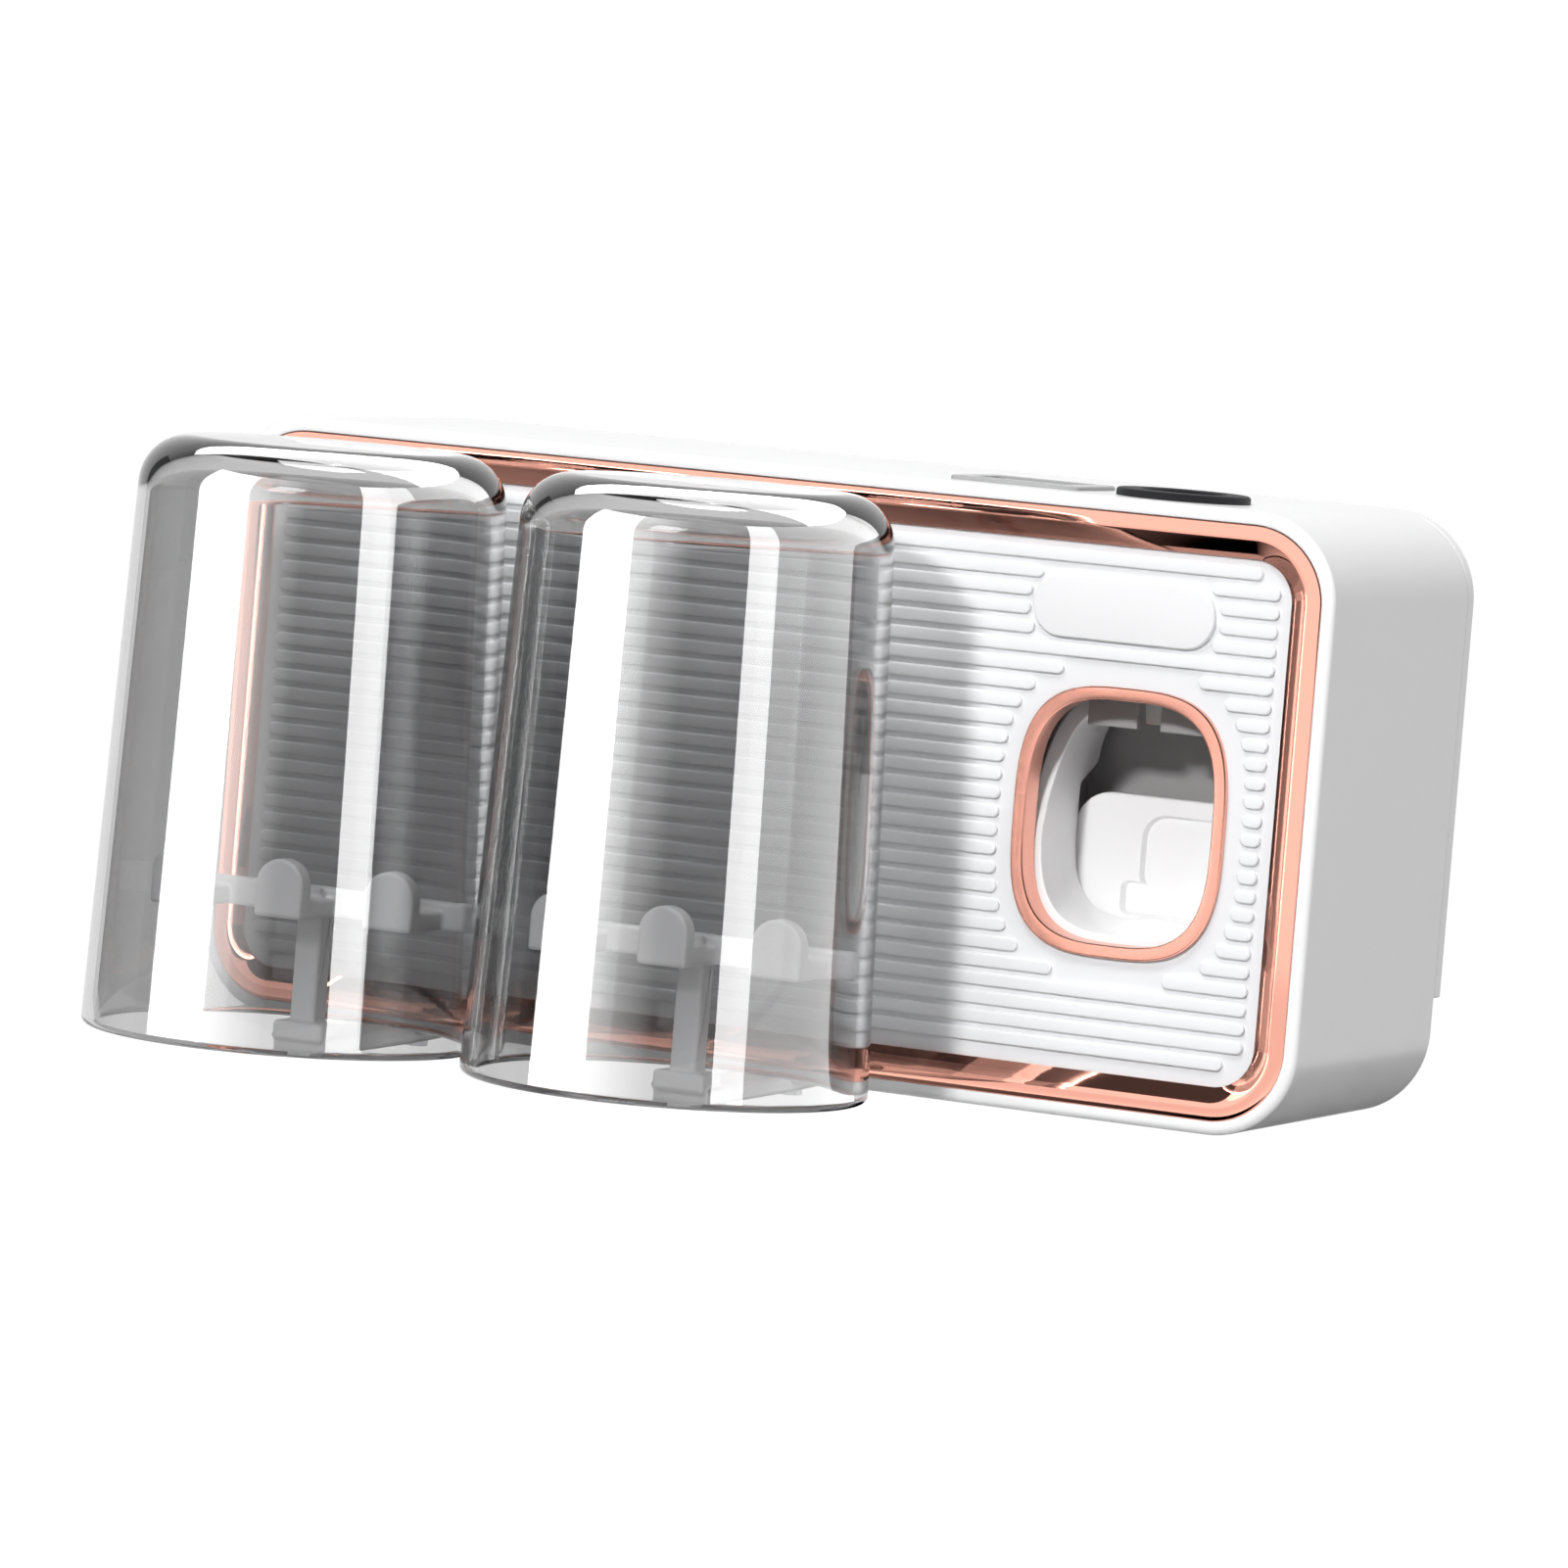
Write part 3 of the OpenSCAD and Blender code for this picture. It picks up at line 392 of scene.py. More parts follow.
def glassMaterial(name, wallTint, lampTint):
    # Smoke-tinted clear plastic; rays from lamps go straight through it
    material, tree, out = emptyMaterial(name)
    where = node(tree, "ShaderNodeTexCoord").outputs["Object"]
    drift = node(tree, "ShaderNodeTexNoise", {"Vector": where, "Scale": 25.0, "Detail": 2.0})
    tone = spread(tree, drift.outputs["Fac"], wallTint[0] * 0.97, wallTint[0])
    colour = node(tree, "ShaderNodeCombineColor", {"Red": tone, "Green": tone, "Blue": tone})
    smear = node(tree, "ShaderNodeTexNoise", {"Vector": where, "Scale": 60.0, "Detail": 4.0})
    shader = node(tree, "ShaderNodeBsdfPrincipled", {
        "Base Color": colour.outputs[0], "Transmission Weight": 1.0, "IOR": 1.49, "Metallic": 0.0,
        "Roughness": spread(tree, smear.outputs["Fac"], 0.0, 0.02)})
    clear = node(tree, "ShaderNodeBsdfTransparent", {"Color": (*lampTint, 1)})
    rays = node(tree, "ShaderNodeLightPath")
    mix = node(tree, "ShaderNodeMixShader", {0: rays.outputs["Is Shadow Ray"], 1: shader.outputs["BSDF"],
                                             2: clear.outputs["BSDF"]})
    tree.links.new(mix.outputs[0], out.inputs["Surface"])
    return material


whiteGloss = surface("whiteGloss", grain, (0.87, 0.87, 0.875), 0.002, {"Coat Weight": 0.2, "Coat Roughness": 0.15},
                     Gloss_Low=0.3, Gloss_High=0.36, Tone_Shift=0.012)
# A lighter copy of whiteGloss for the chute and the lever deep in the window: painted light that makes up for the
# shade falling there
paintedLightWhite = surface("paintedLightWhite", grain, (0.95, 0.95, 0.955), 0.002, {"Coat Weight": 0.2, "Coat Roughness": 0.15},
                    Gloss_Low=0.3, Gloss_High=0.36, Tone_Shift=0.012)
panelWhite = surface("panelWhite", grain, (0.83, 0.835, 0.85), 0.015, {"Specular IOR Level": 0.4},
                     Gloss_Low=0.42, Gloss_High=0.55, Tone_Shift=0.015)
plaqueGrey = surface("plaqueGrey", grain, (0.82, 0.82, 0.83), 0.02, {"Specular IOR Level": 0.4},
                     Gloss_Low=0.38, Gloss_High=0.5, Tone_Shift=0.03, Skin_Scale=1600.0)
roseGold = surface("roseGold", grain, (0.93, 0.44, 0.34), 0.001, {"Metallic": 1.0},
                   Gloss_Low=0.03, Gloss_High=0.045, Tone_Shift=0.02)
roseSatin = surface("roseSatin", grain, (0.93, 0.44, 0.34), 0.001, {"Metallic": 1.0},
                    Gloss_Low=0.2, Gloss_High=0.24, Tone_Shift=0.02)
innerGrey = surface("innerGrey", grain, (0.4, 0.39, 0.39), 0.02, {},
                    Gloss_Low=0.42, Gloss_High=0.6, Tone_Shift=0.12)
paleGrey = surface("paleGrey", grain, (0.62, 0.62, 0.63), 0.02, {},
                   Gloss_Low=0.34, Gloss_High=0.48, Tone_Shift=0.04)
blackRubber = surface("blackRubber", grain, (0.018, 0.018, 0.02), 0.03, {"Specular IOR Level": 0.35},
                      Gloss_Low=0.5, Gloss_High=0.75, Tone_Shift=0.25, Skin_Scale=1400.0)
binGrey = surface("binGrey", grain, (0.36, 0.36, 0.365), 0.004, {},
                  Gloss_Low=0.12, Gloss_High=0.2, Tone_Shift=0.05)
milkySilicone = surface("milkySilicone", grain, (0.74, 0.74, 0.71), 0.01,
                        {"Subsurface Weight": 0.3, "Subsurface Scale": 0.002},
                        Gloss_Low=0.3, Gloss_High=0.42, Tone_Shift=0.05)
steel = surface("steel", brushed, (0.62, 0.62, 0.64), 0.004, {"Metallic": 1.0})
padFoam = surface("padFoam", grain, (0.07, 0.07, 0.075), 0.12, {"Specular IOR Level": 0.2},
                  Gloss_Low=0.8, Gloss_High=0.95, Tone_Shift=0.5, Skin_Scale=2200.0)
clearCup = glassMaterial("clearCup", (0.61, 0.61, 0.61), (0.46, 0.46, 0.465))
print("materials made")


# Body

body = {
    "halfW": 110, "halfH": 55, "cornerR": 16, "depth": 66, "wall": 2.3, "tabX": (-61.6, 0), "tabHalf": 6,
    "tabReach": 5, "tabD": (4.5, 6.9), "edgeR": 1.2, "innerEdgeR": 0.25, "backEdgeR": 0.4, "boss": (98, 43),
    "bossR": 3.6, "bossD": (4.5, 63.6), "pilotR": 1.55, "pilotD": 54.6,
    "rackBossX": (-66.8, 9.3), "rackBossD": (11.9, 33.9), "rackBossTop": -45.85, "pilotFloor": 1,
    "lipIn": 0.13, "lipBack": 1.9, "lipSlope": 0.2, "nearEdge": 0.3, "topCut": (50, 60),
}
port = {"x": 72.2, "depth": 19, "bore": 7.5, "flange": 12, "sleeve": 10.25, "hole": 10.4, "holeR": 7.8, "rise": 1.4,
        "innerEdge": 0.7, "outerEdge": 0.6}
storage = {
    "x": 43, "depth": 19, "halfW": 11, "halfD": 8, "wall": 1.6, "height": 28, "lip": 0.8, "gap": 0.15,
    "cornerR": 1.5, "lipR": 2.0, "mouthR": 1.0, "footEdge": 0.3,
    "lipEdge": [(0, 0.3, 0), (0.15, 0.1, 0.1), (0.45, 0, 0.3)],  # steps inwards, down and off the corner's radius
    "mouthEdge": [(0.4, 0, 0.3), (0.1, 0.1, 0.1), (0, 0.4, 0)],  # steps inwards, down and onto the corner's radius
    "floorEdge": (0.6, 0.8, 0.2),  # step inwards, its height and what it takes off the corner's radius
}


def addBox(shell, low, high):
    x, y, z = zip(low, high)
    ring = np.array([[x[0], y[0]], [x[1], y[0]], [x[1], y[1]], [x[0], y[1]]], float)
    addTube(shell, np.stack([np.column_stack([ring, np.full(4, h)]) for h in z]))


def boxMesh(low, high):
    shell = newShell()
    addBox(shell, low, high)
    return shellMesh("cutter", shell)


def makeHousing(v):
    # The rounded outline carried round a closed profile of wall and rounded edges
    out, thin = v["cornerR"], v["cornerR"] - v["wall"]
    e, f, b = v["innerEdgeR"], v["edgeR"], v["backEdgeR"]
    lip = thin - v["lipIn"]
    profile = np.vstack([
        [[thin, v["lipBack"] + v["lipSlope"]], [lip, v["lipBack"]]],
        fillet(lip + e, e, e, 180, 270, 4), fillet(out - f, f, f, -90, 0, 9), [[out, f + v["nearEdge"]]],
        [[out, v["depth"] - b - v["nearEdge"]]], fillet(out - b, v["depth"] - b, b, 0, 90, 5), [[thin, v["depth"]]]])
    shell = newShell()
    outline = roundedOutline(v["halfW"], v["halfH"], out, 24, 16)
    addGrid(shell, carryFront(outline, profile), wrapRows=True, wrapCols=True)
    for sx in (-1, 1):
        for sz in (-1, 1):
            place = (sx * v["boss"][0], sz * v["boss"][1])
            front, back = v["bossD"]
            wall = [(v["pilotR"], v["pilotD"]), (v["pilotR"], back), (v["bossR"], back), (v["bossR"], front)]
            addGrid(shell, lathe([(0, v["pilotD"])] + wall + [(0, front)], place, 32, "y"), wrapCols=True)
            half = (v["halfW"] - v["wall"] / 2 - v["boss"][0]) / 2
            webX = place[0] + sx * half
            addBox(shell, (webX - half, frontY + front, place[1] - v["bossR"] / 2),
                   (webX + half, frontY + back, place[1] + v["bossR"] / 2))
    tabTop = v["halfH"] - v["wall"] / 2
    tabLow = v["halfH"] - v["wall"] - v["tabReach"]
    for x in v["tabX"]:
        for low, high in ((tabLow, tabTop), (-tabTop, -tabLow)):
            addBox(shell, (x - v["tabHalf"], frontY + v["tabD"][0], low),
                   (x + v["tabHalf"], frontY + v["tabD"][1], high))
    top, low = v["rackBossTop"], -v["halfH"] + v["wall"]
    floor = low + v["pilotFloor"]
    for x in v["rackBossX"]:
        for d in v["rackBossD"]:
            wall = [(0, low), (v["bossR"], low), (v["bossR"], top), (v["pilotR"], top), (v["pilotR"], floor)]
            addGrid(shell, lathe(wall + [(0, floor)], (x, frontY + d), 32), wrapCols=True)
    piece = addPiece("bodyShell", shellMesh("housing", shell), whiteGloss, "holder", ["housing"])
    # Openings of the port and of the bin in the top wall
    y = frontY + port["depth"]
    low, high = v["topCut"]
    hole = newShell()
    core, normal = roundedOutline(port["hole"], port["hole"], port["holeR"], 16, 2)
    flat = core + normal * port["holeR"] + [port["x"], y]
    addTube(hole, np.stack([np.column_stack([flat, np.full(len(flat), h)]) for h in (low, high)]))
    x, w, d = storage["x"], storage["halfW"], storage["halfD"]
    cutOut(piece, [shellMesh("cutter", hole), boxMesh((x - w, y - d, low), (x + w, y + d, high))])


makeHousing(body)
bevelledCopy("back_cover", "backCover", whiteGloss, "holder", 0.4)


# Front trim, panel and plaque

trim = {"outer": 13.55, "face": 2.5, "bevel": 3.5, "drop": 1.26, "depth": 2.1, "edge": 0.25, "crest": 3, "swell": 4,
        "slopeShare": 0.82, "flatShare": 0.35}
panel = {
    "outer": 13.55, "front": 2.1, "back": 4.5, "pitch": 3.33, "ribHalf": 1.2, "ribHeight": 0.8, "shoulder": 0.42,
    "half": 99.2, "endHalf": 95.6, "rise": 0.7, "ribs": 27, "windowGap": 5.3, "plaqueGap": 0.7, "holeGap": 2.15,
    "bossR": 3, "bossX": 25.9, "bossZ": 13.5, "bossBack": 20.886, "pilot": 8, "shortest": 2.8, "sink": 0.1,
    "windowNear": 0.6, "plaqueNear": 0.8,
}
plaque = {"x": 70, "z": 35.1, "halfW": 17.35, "halfH": 5.65, "endR": 5.5, "front": 0.9, "back": 2.1, "edge": 0.4}
window = {"x": 72.2, "z": -2.3, "halfW": 17.9, "halfH": 21.65, "power": 3.2}
coreHalf = (body["halfW"] - body["cornerR"], body["halfH"] - body["cornerR"])


def makeTrim(v):
    # Flat face, rounded crest and slightly swelling slope, carried round the rounded outline
    out, e = v["outer"], v["edge"]
    slope = np.degrees(np.arctan2(v["drop"], v["bevel"]))
    shallow, steep = slope - v["swell"], slope + v["swell"]
    inner = out - v["face"] - v["bevel"]
    # The slope is an arc from the steep angle at its foot to the shallow one where the crest begins
    chord = np.hypot(v["bevel"], v["drop"]) * v["slopeShare"]
    bend = chord / 2 / np.sin(radians(v["swell"]))
    middleA = inner + bend * np.sin(radians(steep))
    middleD = v["drop"] + bend * np.cos(radians(steep))
    side = fillet(middleA, middleD, bend, -90 - shallow, -90 - steep, 8)
    reach = v["crest"] * np.sin(radians(shallow))
    top = side[0] + [reach, -v["crest"] * (1 - np.cos(radians(shallow)))]
    crest = fillet(top[0], top[1] + v["crest"], v["crest"], -90, -90 - shallow, 9)
    flatPoint = [top[0] + v["flatShare"] * (out - e - top[0]), top[1]]
    profile = np.vstack([
        [[out, v["depth"]]], fillet(out - e, e + top[1], e, 0, -90, 5), [flatPoint], crest[:-1], side,
        [[inner, v["depth"]]]])
    shell = newShell()
    outline = roundedOutline(coreHalf[0] + out, coreHalf[1] + out, out, 40, 24)
    addGrid(shell, carryFront(outline, profile), wrapRows=True, wrapCols=True)
    addPiece("frontTrim", shellMesh("frontTrim", shell), roseGold, "holder", ["trim_frame"], 24)


def windowOutline(gap, turn):
    # The window's rounded outline at some angles, widened by a gap
    return squircle(window["halfW"] + gap, window["halfH"] + gap, window["power"], turn) + [window["x"], window["z"]]


def ribRuns(z, half):
    # A rib stops short of the window and of the plaque
    runs = [(-half, half)]
    cuts = []
    gap = panel["windowGap"]
    near = max(abs(z - window["z"]) - panel["ribHalf"] * panel["windowNear"], 0) / (window["halfH"] + gap)
    if near < 1:
        w = (window["halfW"] + gap) * (1 - near ** window["power"]) ** (1 / window["power"])
        cuts.append((window["x"] - w, window["x"] + w))
    r = plaque["halfH"] + panel["plaqueGap"]
    near = max(abs(z - plaque["z"]) - panel["ribHalf"] * panel["plaqueNear"], 0)
    if near < r:
        w = plaque["halfW"] - plaque["halfH"] + (r * r - near * near) ** 0.5
        cuts.append((plaque["x"] - w, plaque["x"] + w))
    for low, high in cuts:
        runs = [part for a, b in runs for part in ((a, min(b, low)), (max(a, high), b))
                if part[1] - part[0] > panel["shortest"]]
    return runs


def makePanel(v):
    # The plate is ruled between its outline and the window's hole, both seen from the window's middle
    turn = np.linspace(0, 2 * pi, 360, endpoint=False)
    dense = roundedOutline(coreHalf[0] + v["outer"], coreHalf[1] + v["outer"], v["outer"], 300, 900)
    edge = dense[0] + dense[1] * v["outer"] - [window["x"], window["z"]]
    seen = np.arctan2(edge[:, 1], edge[:, 0]) % (2 * pi)
    order = np.argsort(seen)
    far = np.interp(turn, seen[order], np.hypot(*edge.T)[order], period=2 * pi)
    outer = np.stack([far * np.cos(turn), far * np.sin(turn)], axis=-1) + [window["x"], window["z"]]
    inner = windowOutline(v["holeGap"], turn)
    share = np.linspace(0, 1, 5)[:, None, None]
    front = inner * (1 - share) + outer * share
    rows = np.concatenate([upright(front, v["front"]), upright(front[::-1], v["back"])])
    shell = newShell()
    addGrid(shell, rows, wrapRows=True, wrapCols=True)
    top, s = v["front"] - v["ribHeight"], v["shoulder"]
    profile = np.vstack([[[v["ribHalf"], v["front"] + v["sink"]]],
                         fillet(v["ribHalf"] - s, top + s, s, 0, -90, 6), [[0, top]]])
    for i in range(v["ribs"]):
        z = v["rise"] + (i - (v["ribs"] - 1) / 2) * v["pitch"]
        half = v["endHalf"] if i in (0, v["ribs"] - 1) else v["half"]
        for low, high in ribRuns(z, half):
            bar = carryFront(barOutline(low, high, z, v["ribHalf"]), profile)
            addGrid(shell, bar, wrapCols=True)
            addCap(shell, bar[0])
    for sx in (-1, 1):
        for sz in (-1, 1):
            place = (window["x"] + sx * v["bossX"], window["z"] + sz * v["bossZ"])
            front, back = v["back"] - 2 * v["sink"], v["bossBack"]
            wall = [(0, front), (v["bossR"], front), (v["bossR"], back), (body["pilotR"], back),
                    (body["pilotR"], back - v["pilot"]), (0, back - v["pilot"])]
            addGrid(shell, lathe(wall, place, 32, "y"), wrapCols=True)
    addPiece("ribbedFront", shellMesh("ribbedFront", shell), panelWhite, "holder", ["ribbed_panel"])


def makePlaque(v):
    # A flat plate with round ends and a rounded front edge
    e = v["edge"]
    profile = np.vstack([[[v["endR"], v["back"]]], fillet(v["endR"] - e, v["front"] + e, e, 0, -90, 6)])
    outline = roundedOutline(v["halfW"], v["halfH"], v["endR"], 20, 8)
    shell = newShell()
    addTube(shell, carryFront((outline[0] + [v["x"], v["z"]], outline[1]), profile))
    addPiece("barePlaque", shellMesh("barePlaque", shell), plaqueGrey, "holder", ["name_plaque"])


makeTrim(trim)
makePanel(panel)
makePlaque(plaque)
print("front made")


# Window

ring = {"width": 2.3, "front": 0.9, "slope": 0.12, "step": 2.1, "back": 6.5, "sleeve": 2.0, "innerR": 0.25,
        "outerR": 0.3, "sleeveEdge": 0.15}
chute = {
    "front": 6.65, "back": 25.286, "wall": 1.6, "lip": 1.2, "lipDepth": 1.2, "edge": 0.35, "roofHalf": 12.1,
    "setBack": 7.0, "setFrom": -8.0, "setTo": 16.0, "flange": (20.886, 23.086), "flangeHalf": 29,
    "flangeUp": 21.6, "flangeDown": 28.6, "sillRise": 3.4, "sillDepth": 5.0, "sillHalf": 60,
    "deeper": 7.0, "deeperFrom": 1.7, "deeperTo": 6.5, "overlap": 0.2,
    "lipShare": 0.5, "lipSlope": (1.0, 0.3),
}


def windowRows(profile, turn):
    # Each profile point is (gap outside the opening, depth)
    return np.stack([upright(windowOutline(gap, turn), depth) for gap, depth in profile])


def makeRing(v):
    # A slightly sunk face with rounded edges, a step that rests on the panel, and a sleeve behind it
    a, b = v["innerR"], v["outerR"]
    lean = np.degrees(np.arctan2(v["slope"], v["width"]))
    profile = np.vstack([
        fillet(a, v["front"] + v["slope"] + a, a, 180, 270 - lean, 6),
        fillet(v["width"] - b, v["front"] + b, b, -90 - lean, 0, 7),
        [[v["width"], v["step"]], [v["sleeve"], v["step"]], [v["sleeve"], v["back"]],
         [v["sleeveEdge"], v["back"]], [0, v["back"] - v["sleeveEdge"]]]])
    turn = np.linspace(0, 2 * pi, 240, endpoint=False)
    shell = newShell()
    addGrid(shell, windowRows(profile, turn), wrapRows=True, wrapCols=True)
    addPiece("windowRing", shellMesh("windowRing", shell), roseSatin, "holder", ["window_ring"], 24)


def eased(share):
    # From 0 to 1 with a level start and end
    return share * share * (3 - 2 * share)


def makeChute(v):
    # The tube's front edge leans back towards the top, and its roof is open for the outlet
    dense = np.linspace(0, pi / 2, 4000)
    across = windowOutline(0, dense)[:, 0] - window["x"]
    start = dense[np.argmin(np.abs(across - v["roofHalf"]))]
    turn = np.linspace(start, start - (2 * pi - (pi - 2 * start)), 220)
    share = np.clip((windowOutline(0, turn)[:, 1] - v["setFrom"]) / (v["setTo"] - v["setFrom"]), 0, 1)
    lean = v["setBack"] * eased(share)
    f, l, e = v["front"], v["lip"], v["edge"]
    deep, shallow = [f + v["lipDepth"] + slope for slope in v["lipSlope"]]
    profile = np.vstack([
        [[0, deep], [-l * v["lipShare"], shallow]],
        fillet(-l + e, f + e, e, 180, 270, 5), fillet(v["wall"] - e, f + e, e, -90, 0, 5)])
    rows = [upright(windowOutline(gap, turn), depth + lean) for gap, depth in profile]
    # The inner wall swells inwards at its lower back edge, as a quarter wave in depth and a bell round the bottom
    c, s = np.cos(turn), np.sin(turn)
    around = np.stack([c, s], axis=-1)
    bell = eased(np.clip(1 - np.abs(np.degrees(turn) + 90) / v["sillHalf"], 0, 1))
    rise = np.clip((windowOutline(0, turn)[:, 1] - v["deeperFrom"]) / (v["deeperTo"] - v["deeperFrom"]), 0, 1)
    back = v["back"] + v["deeper"] * eased(rise)
    rows.append(upright(windowOutline(v["wall"], turn), back))
    for part in np.linspace(1, 0, 8):
        inward = -v["sillRise"] * bell * (1 - np.cos(part * pi / 2))
        inner = windowOutline(0, turn) + inward[:, None] * around
        rows.append(upright(inner, back - v["sillDepth"] * (1 - part)))
    rows = np.stack(rows)
    shell = newShell()
    addGrid(shell, rows, wrapRows=True)
    addCap(shell, rows[:, 0])
    addCap(shell, rows[:, -1])
    # The flange that carries it, ruled from the tube to its own edge
    high = np.where(s > 0, v["flangeUp"], v["flangeDown"])
    far = np.minimum(v["flangeHalf"] / np.maximum(np.abs(c), 1e-6), high / np.maximum(np.abs(s), 1e-6))
    edge = far[:, None] * around + [window["x"], window["z"]]
    near = windowOutline(v["wall"] - v["overlap"], turn)
    low, deep = v["flange"]
    plate = np.stack([upright(near, low), upright(edge, low), upright(edge, deep), upright(near, deep)])
    addGrid(shell, plate, wrapRows=True)
    addCap(shell, plate[:, 0])
    addCap(shell, plate[:, -1])
    # Its white is lightened as painted light, standing in for light that the shade inside the window takes away
    addPiece("brushChute", shellMesh("brushChute", shell), paintedLightWhite, "holder", ["window_chute"])


lever = {
    "front": 25.586, "back": 27.986, "halfW": 18.6, "low": -21.41, "top": 1.19, "r": 7, "edge": 0.5, "footHalf": 10.2,
    "pinZ": -24.91, "pinD": 28.586, "barrelR": 3, "pinHole": 1.56, "dish": 1.3, "draft": 0.5, "chamfer": 0.3,
    "inset": 0.06, "overlap": 0.9,
    "dishUpper": (67.0, 84.6, -17.0, -1.9, 4.6), "dishLower": (63.7, 83.4, -20.4, -14.2, 1.6),
}


def makeLever(v):
    # A rounded plate with a stepped dish pressed into it, on a foot and a barrel round the pin
    x, e = window["x"], v["edge"]
    core, normal = roundedOutline(v["halfW"], (v["top"] - v["low"]) / 2, v["r"], 16, 8)
    profile = np.vstack([fillet(v["r"] - e, v["back"] - e, e, 90, 0), fillet(v["r"] - e, v["front"] + e, e, 0, -90)])
    plate = newShell()
    addTube(plate, carryFront((core + [x, (v["low"] + v["top"]) / 2], normal), profile))
    # The lever shares the lightened white, painted light for the shade inside the window
    piece = addPiece("pushLever", shellMesh("pushLever", plate), paintedLightWhite, "lever", ["push_lever"])
    cutters = []
    for left, right, low, high, r in (v["dishUpper"], v["dishLower"]):
        core, normal = roundedOutline((right - left) / 2, (high - low) / 2, r, 14, 4)
        core = core + [(left + right) / 2, (low + high) / 2]
        slope = [(r - v["draft"], v["front"] + v["dish"]), (r, v["front"]), (r + v["draft"], v["front"] - v["dish"])]
        shell = newShell()
        addTube(shell, carryFront((core, normal), slope))
        cutters.append(shellMesh("cutter", shell))
    cutOut(piece, cutters)
    half, r, cut = v["footHalf"], v["barrelR"], v["chamfer"]
    rest = newShell()
    addBox(rest, (x - half, frontY + v["front"] + v["inset"], v["pinZ"]),
           (x + half, frontY + v["back"] - v["inset"], v["low"] + v["overlap"]))
    turn = np.linspace(0, 2 * pi, 64, endpoint=False)
    y, z = frontY + v["pinD"], v["pinZ"]
    section = [(v["pinHole"], -half), (r - cut, -half), (r, -half + cut), (r, half - cut), (r - cut, half),
               (v["pinHole"], half)]
    barrel = [np.stack([np.full(64, x + across), y + far * np.cos(turn), z + far * np.sin(turn)], -1)
              for far, across in section]
    addGrid(rest, np.stack(barrel), wrapRows=True, wrapCols=True)
    work = bmesh.new()
    work.from_mesh(piece.data)
    work.from_mesh(shellMesh("rest", rest))
    work.to_mesh(piece.data)
    work.free()
    softEdges(piece.data, 32)


makeRing(ring)
makeChute(chute)
makeLever(lever)
bevelledCopy("pump_body", "pumpBody", innerGrey, "holder", 0.3, 2)
print("window made")


# Top

def makeCollar(v):
    # A flange with rounded edges on a sleeve through the top wall
    top, a, b = body["halfH"] + v["rise"], v["innerEdge"], v["outerEdge"]
    seat, low = body["halfH"], body["halfH"] - body["wall"]
    profile = np.vstack([
        [[v["bore"], low]], fillet(v["bore"] + a, top - a, a, 180, 90, 6),
        fillet(v["flange"] - b, top - b, b, 90, 0, 6),
        [[v["flange"], seat], [v["sleeve"], seat], [v["sleeve"], low]]])
    shell = newShell()
    addGrid(shell, lathe(profile, (v["x"], frontY + v["depth"]), 128), wrapRows=True, wrapCols=True)
    addPiece("portCollar", shellMesh("portCollar", shell), blackRubber, "holder", ["port_collar"])


def makeBin(v):
    # Rings of growing and shrinking rounded rectangles: outside, lip, inside and floor;
    # each is (how far it stands out from the outer wall, corner radius, height)
    top, wall, foot = body["halfH"], v["wall"], v["footEdge"]
    low, lipTop, reach = top - v["height"], top + v["lip"], wall + v["gap"]
    rows = [(-foot, v["cornerR"] - foot, low - wall), (0, v["cornerR"], low - wall + foot),
            (0, v["cornerR"], top), (reach, v["lipR"], top)]
    rows += [(reach - inwards, v["lipR"] - less, lipTop - down) for inwards, down, less in v["lipEdge"]]
    rows += [(inwards - wall, v["mouthR"] + more, lipTop - down) for inwards, down, more in v["mouthEdge"]]
    inwards, up, less = v["floorEdge"]
    rows += [(-wall, v["mouthR"], low + up), (-wall - inwards, v["mouthR"] - less, low)]
    rings = []
    for out, r, z in rows:
        core, normal = roundedOutline(v["halfW"] - v["gap"] + out, v["halfD"] - v["gap"] + out, r, 8, 3)
        flat = core + normal * r + [v["x"], frontY + v["depth"]]
        rings.append(np.column_stack([flat, np.full(len(flat), z)]))
    shell = newShell()
    addTube(shell, np.stack(rings))
    addPiece("storageBin", shellMesh("storageBin", shell), binGrey, "holder", ["storage_bin"])


makeCollar(port)
makeBin(storage)


# Cups and racks

cup = {"x": {"cup_left": -66.8, "cup_right": 9.3}, "y": -114, "rimZ": -53.5, "height": 106, "rimR": 35.9,
       "endR": 32.8, "wall": 2.4, "end": 4, "edgeR": 9, "nearShare": 0.003, "nearEdge": 0.3}


